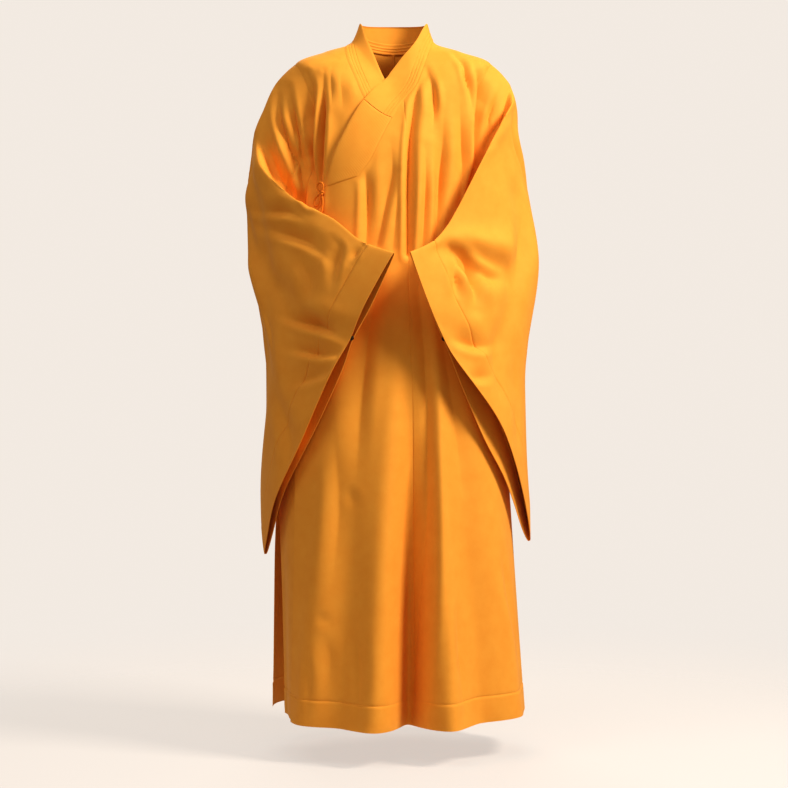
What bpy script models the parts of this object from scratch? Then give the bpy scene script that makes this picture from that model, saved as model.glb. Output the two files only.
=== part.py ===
"""Long crossover robe with wide bag sleeves, worn and hollow.

The robe faces -Y with +Z up and hangs from the shoulders of a general figure. The origin is
where the wearer's shoulders and neck hold it, on the centre plane at the base of the neck.
The wearer's left is +X. Every cloth piece is a thin wall whose face lies on one of two
surfaces: the body surface, lofted through rings from the hem to the top of the collar, and
the sleeve surface, lofted through loops from the armhole to the cuff. Lengths are in metres.
"""

import math
from collections import namedtuple

import bmesh
import bpy
from mathutils import Vector

# ---------------------------------------------------------------- driving sizes

CLOTH_WALL = 0.0018
BAND_WALL = 0.0030
SEAM_GAP = 0.0003
COLLAR_GAP = 0.0014
LAYER_STEP = 0.0070
NARROWEST_PANEL = 0.004
OVERLAP_FULL_ANGLE = 26.0
OVERLAP_FLAT_ANGLE = 62.0
SIDE_TURN = 2.0
SHOULDER_LEVEL = 6.0
COLLAR_TOP_LEVEL = 9.0
SLEEVE_CLEARANCE = 0.016
SLEEVE_FULLNESS = 0.010
SLEEVE_LENGTH = 0.72
SLEEVE_DEPTH = 0.60
SLEEVE_TRIM = 0.0005
TOP_CROWDING = 1.2
PUSH_SOFTNESS = 0.006
SWELL_POWER = 0.7
CREASE_FADE = 5.0
CREASE_TURN = 3.0
CREASE_TURN_START = 0.2
CREASE_SLANT = 0.7
STUD_RADIUS = 0.0045
STUD_LENGTH = 0.0044
STUD_GAP = 0.0066
STUD_DOWN = 4.0 / 12.0
STUD_ALONG = 0.988
STUD_REACH = 0.040
LEAST_PULL = 0.01
TIE_LIFT = 0.0152
TIE_RADIUS = 0.0020
KNOT_RADIUS = 0.0060

# How finely the pieces are divided. Crowding draws a panel's columns towards an edge.
PANEL_COLUMNS = 14
LEFT_CROWDING = 1.7
RIGHT_CROWDING = -1.3
OVERLAP_CROWDING = -1.6
BAND_COLUMNS = 3
BAND_END_TRIM = 0.012
SLEEVE_COLUMNS = 12
SLEEVE_ROWS = 18
STUD_SIDES = 20
KNOT_SEGMENTS = 14
KNOT_RINGS = 8
CORD_STEPS = 2
CORD_BEVEL_STEPS = 2

# How far apart slopes are measured, in degrees and levels on the body and in shares on a
# sleeve, and how many steps the searches for a spot take.
ANGLE_PROBE = 0.6
LEVEL_PROBE = 0.02
ALONG_PROBE = 0.01
DOWN_PROBE = 0.04
SEARCH_STEPS = 40
WIDEST_ANGLE_STEP = 8.0
WIDEST_LEVEL_STEP = 0.5
FRONT_GUESS_DEPTH = 0.14
FRONT_GUESS_LEVEL = 4.0
FRONT_GUESS_RISE = 3.0
HALVING_STEPS = 18

# The body surface: one ring a row, from the hem up. The heights of a ring differ between
# front, side and back, so that the upper rings run over the shoulders.
Ring = namedtuple("Ring", "right_width left_width front_depth back_depth "
                          "front_height side_height back_height squareness")
BODY_RINGS = [
    Ring(0.254, 0.272, 0.262, 0.205, -1.388, -1.378, -1.384, 2.10),
    Ring(0.249, 0.250, 0.236, 0.190, -1.070, -1.070, -1.070, 2.15),
    Ring(0.228, 0.228, 0.203, 0.170, -0.750, -0.750, -0.750, 2.20),
    Ring(0.206, 0.206, 0.170, 0.148, -0.500, -0.500, -0.500, 2.25),
    Ring(0.198, 0.198, 0.146, 0.134, -0.335, -0.330, -0.330, 2.30),
    Ring(0.203, 0.203, 0.128, 0.126, -0.225, -0.190, -0.200, 2.35),
    Ring(0.208, 0.205, 0.105, 0.108, -0.150, -0.038, -0.115, 2.20),
    Ring(0.145, 0.140, 0.086, 0.090, -0.112, -0.006, -0.045, 2.10),
    Ring(0.088, 0.084, 0.066, 0.076, -0.075, 0.014, 0.002, 2.00),
    Ring(0.070, 0.068, 0.054, 0.072, -0.030, 0.055, 0.062, 2.00),
]

# The main folds of the body: a row each. A fold runs from its low to its high level, its
# angle, width and depth changing on the way, with a rise halfway. Below zero is a trough.
Fold = namedtuple("Fold", "low_level high_level low_angle high_angle "
                          "low_width high_width low_depth middle_rise high_depth")
BODY_FOLDS = [
    Fold(0.0, 2.7, 8.0, 9.5, 0.042, 0.018, -0.085, 0.000, 0.0),
    Fold(0.0, 2.8, -8.0, 0.0, 0.036, 0.018, 0.018, 0.000, 0.0),
    Fold(0.0, 2.8, 23.0, 19.0, 0.030, 0.018, 0.022, 0.000, 0.0),
    Fold(0.0, 2.6, -26.0, -14.0, 0.036, 0.022, -0.014, 0.000, 0.0),
    Fold(0.0, 2.4, -42.0, -28.0, 0.034, 0.022, 0.012, 0.000, 0.0),
    Fold(0.0, 2.0, -68.0, -74.0, 0.055, 0.040, -0.022, 0.000, 0.0),
    Fold(0.0, 2.6, 43.0, 30.0, 0.045, 0.025, -0.022, 0.000, 0.0),
    Fold(0.0, 2.4, 64.0, 52.0, 0.040, 0.030, 0.012, 0.000, 0.0),
    Fold(0.0, 3.0, 116.0, 120.0, 0.042, 0.024, -0.022, 0.000, 0.0),
    Fold(0.0, 3.6, 145.0, 150.0, 0.038, 0.022, -0.034, 0.000, 0.0),
    Fold(0.0, 3.0, 172.0, 168.0, 0.036, 0.022, -0.018, 0.000, 0.0),
    Fold(0.0, 3.7, 204.0, 198.0, 0.040, 0.022, -0.038, 0.000, 0.0),
    Fold(0.0, 3.0, 236.0, 226.0, 0.042, 0.024, -0.024, 0.000, 0.0),
    Fold(2.6, 6.2, 34.0, 42.0, 0.030, 0.020, 0.000, -0.009, 0.0),
    Fold(2.6, 6.0, 20.0, 24.0, 0.026, 0.018, 0.000, 0.007, 0.0),
    Fold(2.4, 5.0, -18.0, -8.0, 0.030, 0.022, 0.000, -0.007, 0.0),
    Fold(3.6, 6.8, -58.0, -66.0, 0.022, 0.018, 0.000, -0.010, 0.0),
    Fold(3.4, 7.2, 150.0, 146.0, 0.030, 0.020, 0.000, -0.010, 0.0),
    Fold(3.2, 7.2, 214.0, 212.0, 0.030, 0.020, 0.000, -0.010, 0.0),
]


# ---------------------------------------------------------------- plain helpers

def blend(low, high, share):
    """Return the value at a share of the way from low to high."""
    return low + (high - low) * share


def ease(share):
    """Return a share turned into a smooth start and finish."""
    share = min(max(share, 0.0), 1.0)
    return share * share * (3.0 - 2.0 * share)


def gentle_slope(rise_before, rise_after):
    """Return a slope that keeps a curve from overshooting its rows."""
    if rise_before * rise_after <= 0.0:
        return 0.0
    return 2.0 * rise_before * rise_after / (rise_before + rise_after)


def through_rows(rows, place):
    """Return a smooth curve through rows of numbers, read at a place in row numbers."""
    last = len(rows) - 1
    place = min(max(place, 0.0), float(last))
    row = min(int(place), last - 1)
    share = place - row
    before, start = rows[max(row - 1, 0)], rows[row]
    finish, after = rows[row + 1], rows[min(row + 2, last)]
    values = []
    for a, b, c, d in zip(before, start, finish, after):
        slope_b, slope_c = gentle_slope(b - a, c - b), gentle_slope(c - b, d - c)
        values.append(b + share * slope_b
                      + share ** 2 * (3.0 * (c - b) - 2.0 * slope_b - slope_c)
                      + share ** 3 * (2.0 * (b - c) + slope_b + slope_c))
    return values


# ---------------------------------------------------------------- the body surface

def ring_point(angle, level):
    """Return the plain body surface's point at an angle from the front, in degrees."""
    ring = Ring(*through_rows(BODY_RINGS, level))
    sine, cosine = math.sin(math.radians(angle)), math.cos(math.radians(angle))
    width = blend(ring.right_width, ring.left_width, ease(0.5 + SIDE_TURN * sine))
    depth = blend(ring.back_depth, ring.front_depth, ease(0.5 + SIDE_TURN * cosine))
    power = ring.squareness
    radius = (abs(sine / width) ** power + abs(cosine / depth) ** power) ** (-1.0 / power)
    end_height = ring.front_height if cosine > 0.0 else ring.back_height
    height = blend(ring.side_height, end_height, cosine ** 2)
    return Vector((radius * sine, -radius * cosine, height))


def fold_relief(angle, level):
    """Return how far the folds move the body surface outwards at a place."""
    radius = ring_point(angle, level).xy.length
    relief = 0.0
    for fold in BODY_FOLDS:
        share = (level - fold.low_level) / (fold.high_level - fold.low_level)
        if not 0.0 <= share < 1.0:
            continue
        centre = blend(fold.low_angle, fold.high_angle, share)
        width = blend(fold.low_width, fold.high_width, share)
        depth = blend(fold.low_depth, fold.high_depth, ease(share))
        depth += fold.middle_rise * math.sin(math.pi * share) ** 2
        turn = (angle - centre + 180.0) % 360.0 - 180.0
        relief += depth * math.exp(-(radius * math.radians(turn) / width) ** 2)
    return relief


def draped_point(angle, level):
    """Return the body surface's point with its folds."""
    point = ring_point(angle, level)
    outward = Vector((point.x, point.y, 0.0)).normalized()
    return point + outward * fold_relief(angle, level)


def surface_normal(surface, first, second, first_step, second_step):
    """Return a surface's unit normal from its slopes in two directions."""
    across = surface(first + first_step, second) - surface(first - first_step, second)
    along = surface(first, second + second_step) - surface(first, second - second_step)
    return across.cross(along).normalized()


def body_point(angle, level, lift=0.0):
    """Return a point of the body surface, moved outwards by a lift."""
    inside = min(max(level, LEVEL_PROBE), COLLAR_TOP_LEVEL - LEVEL_PROBE)
    normal = surface_normal(ring_point, angle, inside, ANGLE_PROBE, LEVEL_PROBE)
    return draped_point(angle, level) + normal * lift


def on_front(x, z):
    """Return the angle and level of the front surface's point with this x and z."""
    angle = math.degrees(math.atan2(x, FRONT_GUESS_DEPTH))
    level = FRONT_GUESS_LEVEL + z * FRONT_GUESS_RISE
    for _ in range(SEARCH_STEPS):
        level = min(max(level, 0.0), COLLAR_TOP_LEVEL)
        here = ring_point(angle, level)
        turned = (ring_point(angle + ANGLE_PROBE, level) - here) / ANGLE_PROBE
        raised = (ring_point(angle, level + LEVEL_PROBE) - here) / LEVEL_PROBE
        spread = turned.x * raised.z - raised.x * turned.z
        miss_x, miss_z = x - here.x, z - here.z
        step_angle = (miss_x * raised.z - raised.x * miss_z) / spread
        step_level = (turned.x * miss_z - miss_x * turned.z) / spread
        angle += max(min(step_angle, WIDEST_ANGLE_STEP), -WIDEST_ANGLE_STEP)
        level += max(min(step_level, WIDEST_LEVEL_STEP), -WIDEST_LEVEL_STEP)
    return angle, min(max(level, 0.0), COLLAR_TOP_LEVEL)


# ---------------------------------------------------------------- cloth walls

def cloth_wall(name, surface, columns, rows, wall, material):
    """Make a wall outwards from surface(across, along), with both shares from 0 to 1."""
    mesh = bpy.data.meshes.new(name)
    cage = bmesh.new()
    bmesh.ops.create_grid(cage, x_segments=columns, y_segments=rows, size=1.0)
    for vertex in cage.verts:
        vertex.co = surface(0.5 + vertex.co.x / 2.0, 0.5 + vertex.co.y / 2.0)
    cage.to_mesh(mesh)
    cage.free()
    mesh.shade_smooth()
    mesh.materials.append(material)
    piece = bpy.data.objects.new(name, mesh)
    ROBE.objects.link(piece)
    solidify = piece.modifiers.new("Wall", "SOLIDIFY")
    solidify.thickness = wall
    solidify.offset = 1.0
    return piece


def move_to_robe(piece):
    """Link a piece to the robe's collection only."""
    for collection in list(piece.users_collection):
        collection.objects.unlink(piece)
    ROBE.objects.link(piece)


# A panel of the body lies between two edges. A station is a row of the panel: the angle and
# level of its near edge and of its far edge, and how many mesh rows reach the next station.
Station = namedtuple("Station", "near far rows")


def blend_spots(low, high, share):
    """Return the spot at a share of the way between two spots."""
    return blend(low[0], high[0], share), blend(low[1], high[1], share)


def along_spots(spots, place):
    """Return the spot at a place, in spot numbers, along a line of spots."""
    first = min(int(place), len(spots) - 2)
    return blend_spots(spots[first], spots[first + 1], place - first)


def crowded(share, crowding):
    """Return a share with the columns drawn to the near edge, or to the far one below zero."""
    return share ** crowding if crowding > 0.0 else 1.0 - (1.0 - share) ** -crowding


def panel_surface(stations, lift, crowding, seam_gap, end_trim):
    """Return the surface of a panel: rows ruled from the near edge to the far edge."""
    near_line = [station.near for station in stations]
    far_line = [station.far for station in stations]
    places = [float(index) + step / station.rows
              for index, station in enumerate(stations[:-1]) for step in range(station.rows)]
    places.append(float(len(stations) - 1))
    places[0] += end_trim
    places[-1] -= end_trim

    def surface(across, along):
        place = places[round(along * (len(places) - 1))]
        near, far = along_spots(near_line, place), along_spots(far_line, place)
        width = (ring_point(*far) - ring_point(*near)).length
        trim = seam_gap / max(width, NARROWEST_PANEL)
        share = blend(trim, 1.0 - trim, crowded(across, crowding))
        angle, level = blend_spots(near, far, share)
        return body_point(angle, level, lift(angle))

    return surface, len(places) - 1


def add_panel(name, stations, columns, lift, material,
              wall=CLOTH_WALL, crowding=1.0, seam_gap=SEAM_GAP, end_trim=0.0):
    """Add a panel that lies on the body surface."""
    surface, rows = panel_surface(stations, lift, crowding, seam_gap, end_trim)
    return cloth_wall(name, surface, columns, rows, wall, material)


def overlap_lift(angle):
    """Return how far the front overlap stands off the panel below it, at an angle."""
    turn = (OVERLAP_FLAT_ANGLE - angle) / (OVERLAP_FLAT_ANGLE - OVERLAP_FULL_ANGLE)
    return LAYER_STEP * ease(turn)


def no_lift(_angle):
    """Return the lift of what lies on the body surface itself."""
    return 0.0


def round_back(spot):
    """Return a spot on the wearer's right with its angle counted round the back."""
    return spot[0] + 360.0, spot[1]


# The line where the collar is sewn on: from its outer end up over the wearer's left shoulder
# to the centre back, and from its inner end up over the right shoulder to the centre back.
OUTER_SEWN = [on_front(-0.0735, -0.2815), on_front(-0.049, -0.250), on_front(-0.028, -0.207),
              on_front(-0.004, -0.160), on_front(0.022, -0.122), on_front(0.047, -0.090),
              on_front(0.0615, -0.050), on_front(0.072, -0.012), (90.0, 8.1), (118.0, 8.0),
              (150.0, 8.0), (180.0, 8.0)]
INNER_SEWN = [on_front(0.030, -0.230), on_front(0.000, -0.190), on_front(-0.060, -0.118),
              on_front(-0.082, -0.068), on_front(-0.101, -0.015),
              (-90.0, 7.75), (-118.0, 8.0), (-150.0, 8.0), (-180.0, 8.0)]
OUTER_FREE = [on_front(-0.139, -0.303), on_front(-0.118, -0.226), on_front(-0.094, -0.175),
              on_front(-0.063, -0.121), on_front(-0.037, -0.090), on_front(-0.005, -0.056),
              on_front(0.024, -0.018), on_front(0.046, 0.014), (90.0, 9.0), (118.0, 9.0),
              (150.0, 9.0), (180.0, 9.0)]
INNER_FREE = [on_front(0.075, -0.195), on_front(0.045, -0.150), on_front(-0.016, -0.078),
              on_front(-0.038, -0.028), on_front(-0.058, 0.022),
              (-90.0, 9.0), (-118.0, 9.0), (-150.0, 9.0), (-180.0, 9.0)]
PATCH_SPOT = 3
CENTRE_SPOT = 4

# The armhole's edges on the wearer's left, from the underarm up to the shoulder tip.
ARMHOLE_FRONT = [(90.0, 3.45), (75.0, 3.85), (68.0, 4.40), (66.0, 5.00), (70.0, 5.55),
                 (79.0, 5.88), (90.0, 6.00)]
ARMHOLE_BACK = [(90.0, 3.45), (104.0, 3.85), (111.0, 4.35), (113.0, 4.90), (109.0, 5.45),
                (100.0, 5.87), (90.0, 6.00)]

# The free edge of the front overlap, down from the outer end of the collar.
OVERLAP_EDGE = [on_front(-0.200, -1.385), on_front(-0.197, -1.070), on_front(-0.190, -0.750),
                on_front(-0.172, -0.500), on_front(-0.150, -0.370), OUTER_FREE[0],
                blend_spots(OUTER_FREE[0], OUTER_SEWN[0], 0.5)]


# The centre front seam: down on the flank of the deep fold, up to the collar's seam.
CENTRE_SEAM = [(13.5, 0.0), (10.2, 3.0), OUTER_SEWN[CENTRE_SPOT]]


def centre_seam(level):
    """Return the spot of the centre front seam at a level."""
    low, middle, top = CENTRE_SEAM
    if level < middle[1]:
        return blend_spots(low, middle, level / middle[1])
    return blend_spots(middle, top, (level - middle[1]) / (top[1] - middle[1]))


def mirrored(spots):
    """Return the same spots on the other side of the centre plane."""
    return [(-angle, level) for angle, level in spots]


def build_body_left(cloth):
    """Add the wearer's left panel: front and back in one, folded over the shoulder."""
    front, back, sewn = ARMHOLE_FRONT, ARMHOLE_BACK, OUTER_SEWN
    add_panel("body_left", [
        Station(centre_seam(0.0), (90.0, 0.0), 4), Station(centre_seam(1.0), (90.0, 1.0), 4),
        Station(centre_seam(2.0), (90.0, 2.0), 3), Station(centre_seam(3.0), (90.0, 3.0), 2),
        Station(centre_seam(3.6), front[0], 2), Station(centre_seam(5.0), front[1], 2),
        Station(sewn[4], front[2], 2), Station(sewn[5], front[3], 2),
        Station(sewn[6], front[4], 2), Station(sewn[7], front[5], 2),
        Station(sewn[8], front[6], 2),
        Station(sewn[9], back[5], 2), Station(sewn[10], back[4], 2),
        Station(sewn[11], back[3], 2), Station((180.0, 7.0), back[2], 2),
        Station((180.0, 5.4), back[1], 2), Station((180.0, 3.7), back[0], 2),
        Station((180.0, 3.0), (90.0, 3.0), 3), Station((180.0, 2.0), (90.0, 2.0), 4),
        Station((180.0, 1.0), (90.0, 1.0), 4), Station((180.0, 0.0), (90.0, 0.0), 1),
    ], PANEL_COLUMNS, overlap_lift, cloth, crowding=LEFT_CROWDING)


def build_body_right(cloth):
    """Add the wearer's right panel, whose front runs on under the overlap."""
    front, back, sewn = mirrored(ARMHOLE_FRONT), mirrored(ARMHOLE_BACK), INNER_SEWN
    add_panel("body_right", [
        Station((-71.0, 0.0), (-12.0, 0.0), 4), Station((-75.0, 1.0), (-10.0, 1.0), 4),
        Station((-89.0, 2.0), (-6.0, 2.0), 3), Station((-90.0, 3.0), (2.0, 3.0), 2),
        Station(front[0], (5.0, 3.6), 2), Station(front[1], sewn[0], 2),
        Station(front[2], sewn[1], 2), Station(front[3], sewn[2], 2),
        Station(front[4], sewn[3], 2), Station(front[5], sewn[4], 2),
        Station(front[6], sewn[5], 2), Station(back[5], sewn[6], 2),
        Station(back[4], sewn[7], 2), Station(back[3], sewn[8], 2),
        Station(back[2], (-180.0, 7.0), 2), Station(back[1], (-180.0, 5.4), 2),
        Station(back[0], (-180.0, 3.7), 2),
        Station((-90.0, 3.0), (-180.0, 3.0), 3), Station((-90.0, 2.0), (-180.0, 2.0), 4),
        Station((-90.0, 1.0), (-180.0, 1.0), 4), Station((-90.0, 0.0), (-180.0, 0.0), 1),
    ], PANEL_COLUMNS, no_lift, cloth, crowding=RIGHT_CROWDING)


def build_overlap(cloth):
    """Add the front overlap, from the centre front seam to its free edge."""
    edge, sewn = OVERLAP_EDGE, OUTER_SEWN
    add_panel("front_overlap", [
        Station(edge[0], centre_seam(0.0), 4), Station(edge[1], centre_seam(1.0), 4),
        Station(edge[2], centre_seam(2.0), 3), Station(edge[3], centre_seam(3.0), 2),
        Station(edge[4], centre_seam(3.7), 1), Station(edge[5], centre_seam(4.0), 1),
        Station(edge[6], centre_seam(4.3), 1), Station(sewn[0], centre_seam(4.6), 2),
        Station(sewn[1], centre_seam(5.0), 2), Station(sewn[2], centre_seam(5.5), 2),
        Station(sewn[3], centre_seam(5.9), 2),
        Station(blend_spots(sewn[3], sewn[4], 0.85), centre_seam(6.2), 1),
    ], PANEL_COLUMNS, overlap_lift, cloth, crowding=OVERLAP_CROWDING)


def build_collar(cloth):
    """Add the collar band in one length, and the quilted length at its outer end."""
    outer = list(zip(OUTER_FREE, OUTER_SEWN))
    inner = list(zip(INNER_FREE, INNER_SEWN))
    inner = [(round_back(free), round_back(sewn)) for free, sewn in reversed(inner[:-1])]
    end_rows = [Station(free, sewn, 2) for free, sewn in outer[:PATCH_SPOT + 1]]
    band_rows = [Station(free, sewn, 2) for free, sewn in outer[PATCH_SPOT:] + inner]
    for name, rows in (("collar_end", end_rows), ("collar", band_rows)):
        add_panel(name, rows, BAND_COLUMNS, overlap_lift, cloth, BAND_WALL,
                  seam_gap=COLLAR_GAP, end_trim=BAND_END_TRIM)


# ---------------------------------------------------------------- the sleeves

# A sleeve is lofted through loops round the arm. The top of a loop lies on the arm, the
# outer points on the layer that shows from the front of the forearm, the inner points on
# the layer next to the body, and the bottom on the seam under the bag of the sleeve.
Loop = namedtuple("Loop", "top outer outer_low bottom inner_low inner")
RIGHT_LOOPS = [
    Loop((-.246, .000, -.070), (-.252, .080, -.190), (-.236, .085, -.400),
         (-.212, .038, -.458), (-.214, -.030, -.402), (-.220, -.060, -.200)),
    Loop((-.270, .000, -.120), (-.278, .085, -.240), (-.259, .098, -.475),
         (-.230, .052, -.535), (-.224, -.024, -.460), (-.236, -.058, -.245)),
    Loop((-.290, -.005, -.180), (-.300, .080, -.300), (-.275, .100, -.500),
         (-.250, .072, -.625), (-.231, -.022, -.525), (-.242, -.056, -.290)),
    Loop((-.282, -.062, -.240), (-.315, .040, -.340), (-.283, .085, -.560),
         (-.260, .083, -.700), (-.236, -.026, -.580), (-.230, -.068, -.345)),
    Loop((-.237, -.106, -.296), (-.298, -.020, -.405), (-.270, .040, -.640),
         (-.270, .080, -.780), (-.240, -.030, -.640), (-.210, -.080, -.400)),
    Loop((-.187, -.132, -.337), (-.255, -.085, -.455), (-.264, -.010, -.700),
         (-.276, .065, -.850), (-.245, -.040, -.705), (-.180, -.108, -.440)),
    Loop((-.127, -.170, -.368), (-.200, -.145, -.505), (-.262, -.050, -.770),
         (-.280, .040, -.920), (-.240, -.050, -.770), (-.145, -.150, -.485)),
    Loop((-.060, -.220, -.422), (-.140, -.205, -.560), (-.240, -.100, -.830),
         (-.276, .000, -.990), (-.222, -.100, -.820), (-.102, -.195, -.545)),
    Loop((.000, -.262, -.445), (-.089, -.250, -.606), (-.190, -.180, -.835),
         (-.257, -.045, -1.054), (-.172, -.165, -.830), (-.070, -.228, -.600)),
]
LEFT_LOOPS = [
    Loop((.242, -.005, -.075), (.250, .080, -.180), (.236, .085, -.400),
         (.211, .038, -.458), (.212, -.030, -.402), (.215, -.055, -.190)),
    Loop((.248, -.040, -.110), (.268, .080, -.225), (.256, .098, -.475),
         (.228, .052, -.535), (.221, -.026, -.460), (.218, -.060, -.235)),
    Loop((.228, -.085, -.155), (.286, .065, -.285), (.272, .095, -.490),
         (.247, .072, -.625), (.226, -.026, -.520), (.212, -.070, -.275)),
    Loop((.198, -.118, -.215), (.299, .035, -.345), (.285, .075, -.560),
         (.258, .083, -.700), (.230, -.032, -.560), (.197, -.092, -.318)),
    Loop((.168, -.145, -.275), (.298, -.010, -.405), (.284, .045, -.620),
         (.266, .080, -.770), (.232, -.040, -.610), (.178, -.110, -.360)),
    Loop((.131, -.174, -.347), (.270, -.070, -.460), (.276, .000, -.680),
         (.272, .065, -.840), (.235, -.050, -.670), (.160, -.135, -.415)),
    Loop((.110, -.192, -.383), (.225, -.130, -.500), (.268, -.045, -.740),
         (.277, .040, -.905), (.232, -.060, -.730), (.150, -.152, -.465)),
    Loop((.078, -.225, -.420), (.165, -.190, -.555), (.252, -.100, -.780),
         (.282, .005, -.970), (.215, -.110, -.790), (.125, -.185, -.540)),
    Loop((.032, -.262, -.444), (.099, -.250, -.615), (.222, -.165, -.800),
         (.281, -.030, -1.028), (.185, -.165, -.820), (.095, -.228, -.605)),
]


def layer_point(loop, layer, share):
    """Return a point of one layer of a loop, from its top to its bottom."""
    order = ("inner", "top", "outer", "outer_low", "bottom", "inner_low")
    if layer == "inner":
        order = ("outer", "top", "inner", "inner_low", "bottom", "outer_low")
    points = [Vector(getattr(loop, name)) for name in order]
    spans = [(second - first).length for first, second in zip(points, points[1:])]
    distance = share ** TOP_CROWDING * sum(spans[1:4])
    span = 1
    while span < 3 and distance > spans[span]:
        distance -= spans[span]
        span += 1
    part = distance / spans[span]
    start, finish = points[span], points[span + 1]
    scale_in = spans[span] / (spans[span - 1] + spans[span])
    scale_out = spans[span] / (spans[span] + spans[span + 1])
    slope_in = (finish - points[span - 1]) * scale_in
    slope_out = (points[span + 2] - start) * scale_out
    return (start * (2.0 * part ** 3 - 3.0 * part ** 2 + 1.0)
            + slope_in * (part ** 3 - 2.0 * part ** 2 + part)
            + finish * (3.0 * part ** 2 - 2.0 * part ** 3)
            + slope_out * (part ** 3 - part ** 2))


def clear_of_body(point, clearance):
    """Return the point, moved outwards where it is nearer to the body than a clearance."""
    angle = math.degrees(math.atan2(point.x, -point.y))
    low, high = 0.0, SHOULDER_LEVEL
    for _ in range(HALVING_STEPS):
        middle = (low + high) / 2.0
        if ring_point(angle, middle).z < point.z:
            low = middle
        else:
            high = middle
    outward = Vector((point.x, point.y, 0.0)).normalized()
    room = point.xy.length - draped_point(angle, low).xy.length - clearance
    push = (math.hypot(room, PUSH_SOFTNESS) - room) / 2.0
    return point + outward * push


# The main folds of a sleeve's outer layer: a row each, from one place to another. Places are
# given as the share along the sleeve and the share down the loop.
Crease = namedtuple("Crease", "along_start down_start along_end down_end width depth")
RIGHT_CREASES = [
    Crease(0.44, 0.16, 0.62, 0.30, 0.030, -0.012),
    Crease(0.50, 0.34, 0.86, 0.40, 0.034, -0.014),
    Crease(0.56, 0.46, 0.92, 0.62, 0.030, 0.010),
    Crease(0.40, 0.40, 0.66, 0.80, 0.040, -0.012),
    Crease(0.22, 0.30, 0.34, 0.75, 0.036, -0.014),
]
LEFT_CREASES = [
    Crease(0.88, 0.10, 0.74, 0.34, 0.026, -0.014),
    Crease(0.80, 0.10, 0.66, 0.32, 0.026, 0.010),
    Crease(0.52, 0.30, 0.84, 0.46, 0.034, -0.010),
    Crease(0.40, 0.40, 0.62, 0.78, 0.040, -0.012),
    Crease(0.22, 0.30, 0.34, 0.75, 0.036, -0.014),
]


def crease_relief(creases, along, down):
    """Return how far the creases move a sleeve's outer layer at a place."""
    relief = 0.0
    for crease in creases:
        run = Vector(((crease.along_end - crease.along_start) * SLEEVE_LENGTH,
                      (crease.down_end - crease.down_start) * SLEEVE_DEPTH))
        reach = Vector(((along - crease.along_start) * SLEEVE_LENGTH,
                        (down - crease.down_start) * SLEEVE_DEPTH))
        share = min(max(reach.dot(run) / run.length_squared, 0.0), 1.0)
        aside = (reach - run * share).length
        relief += crease.depth * math.exp(-(aside / crease.width) ** 2)
    return relief * ease(down * CREASE_FADE) * ease((1.0 - down) * CREASE_FADE)


def open_layer_point(side, loops, layer, along, down):
    """Return a sleeve layer's point before its cuff is pressed together."""
    edge = ARMHOLE_BACK if layer == "outer" else ARMHOLE_FRONT
    angle, level = along_spots(edge, (1.0 - down) * (len(edge) - 1))
    lift = blend(CLOTH_WALL, 2.0 * CLOTH_WALL, down) + 2.0 * SEAM_GAP
    rows = [body_point(side * angle, level, lift)]
    rows += [layer_point(loop, layer, down) for loop in loops]
    place = along * len(loops)
    point = Vector(through_rows(rows, place))
    swell = -SLEEVE_FULLNESS
    if layer == "outer":
        swell = SLEEVE_FULLNESS
        forward = ease((along - CREASE_TURN_START) * CREASE_TURN)
        outward = Vector((side * CREASE_SLANT, -CREASE_SLANT * forward, 0.0))
        creases = RIGHT_CREASES if side < 0.0 else LEFT_CREASES
        point += outward * crease_relief(creases, along, down)
    clearance = SLEEVE_CLEARANCE + SLEEVE_FULLNESS
    clearance += swell * math.sin(math.pi * down) ** SWELL_POWER
    return point.lerp(clear_of_body(point, clearance), ease(place))


def sleeve_point(side, loops, layer, along, down):
    """Return a sleeve layer's point, drawn to the other layer round the cuff's stud."""
    point = open_layer_point(side, loops, layer, along, down)
    far_along = (1.0 - along) * SLEEVE_LENGTH / STUD_REACH
    far_down = (down - STUD_DOWN) * SLEEVE_DEPTH / STUD_REACH
    pull = math.exp(-far_along ** 2 - far_down ** 2)
    if pull < LEAST_PULL:
        return point
    other = open_layer_point(side, loops, "inner" if layer == "outer" else "outer", along, down)
    middle = (point + other) / 2.0
    return point.lerp(middle + (point - middle).normalized() * STUD_GAP / 2.0, pull)


def build_sleeve(name, side, loops, cloth):
    """Add a sleeve as its outer and its inner layer, which meet along top and bottom."""
    for layer in ("outer", "inner"):
        turned = (side > 0.0) == (layer == "outer")

        def surface(across, along, layer=layer, turned=turned):
            down = blend(SLEEVE_TRIM, 1.0 - SLEEVE_TRIM, 1.0 - across if turned else across)
            return sleeve_point(side, loops, layer, along, down)

        cloth_wall(f"{name}_{layer}", surface, SLEEVE_COLUMNS, SLEEVE_ROWS,
                   CLOTH_WALL, cloth)


def build_stud(name, side, loops, metal):
    """Add the press stud that holds the two layers of a cuff together."""
    def outer_layer(along, down):
        return sleeve_point(side, loops, "outer", along, down)

    outer = outer_layer(STUD_ALONG, STUD_DOWN)
    inner = sleeve_point(side, loops, "inner", STUD_ALONG, STUD_DOWN)
    axis = surface_normal(outer_layer, STUD_ALONG, STUD_DOWN, ALONG_PROBE, DOWN_PROBE)
    bpy.ops.mesh.primitive_cylinder_add(vertices=STUD_SIDES, radius=STUD_RADIUS, depth=STUD_LENGTH,
                                        location=(outer + inner) / 2.0)
    stud = bpy.context.object
    stud.name = name
    stud.rotation_euler = axis.to_track_quat("Z", "Y").to_euler()
    stud.data.materials.append(metal)
    move_to_robe(stud)


# ---------------------------------------------------------------- the tie

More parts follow.
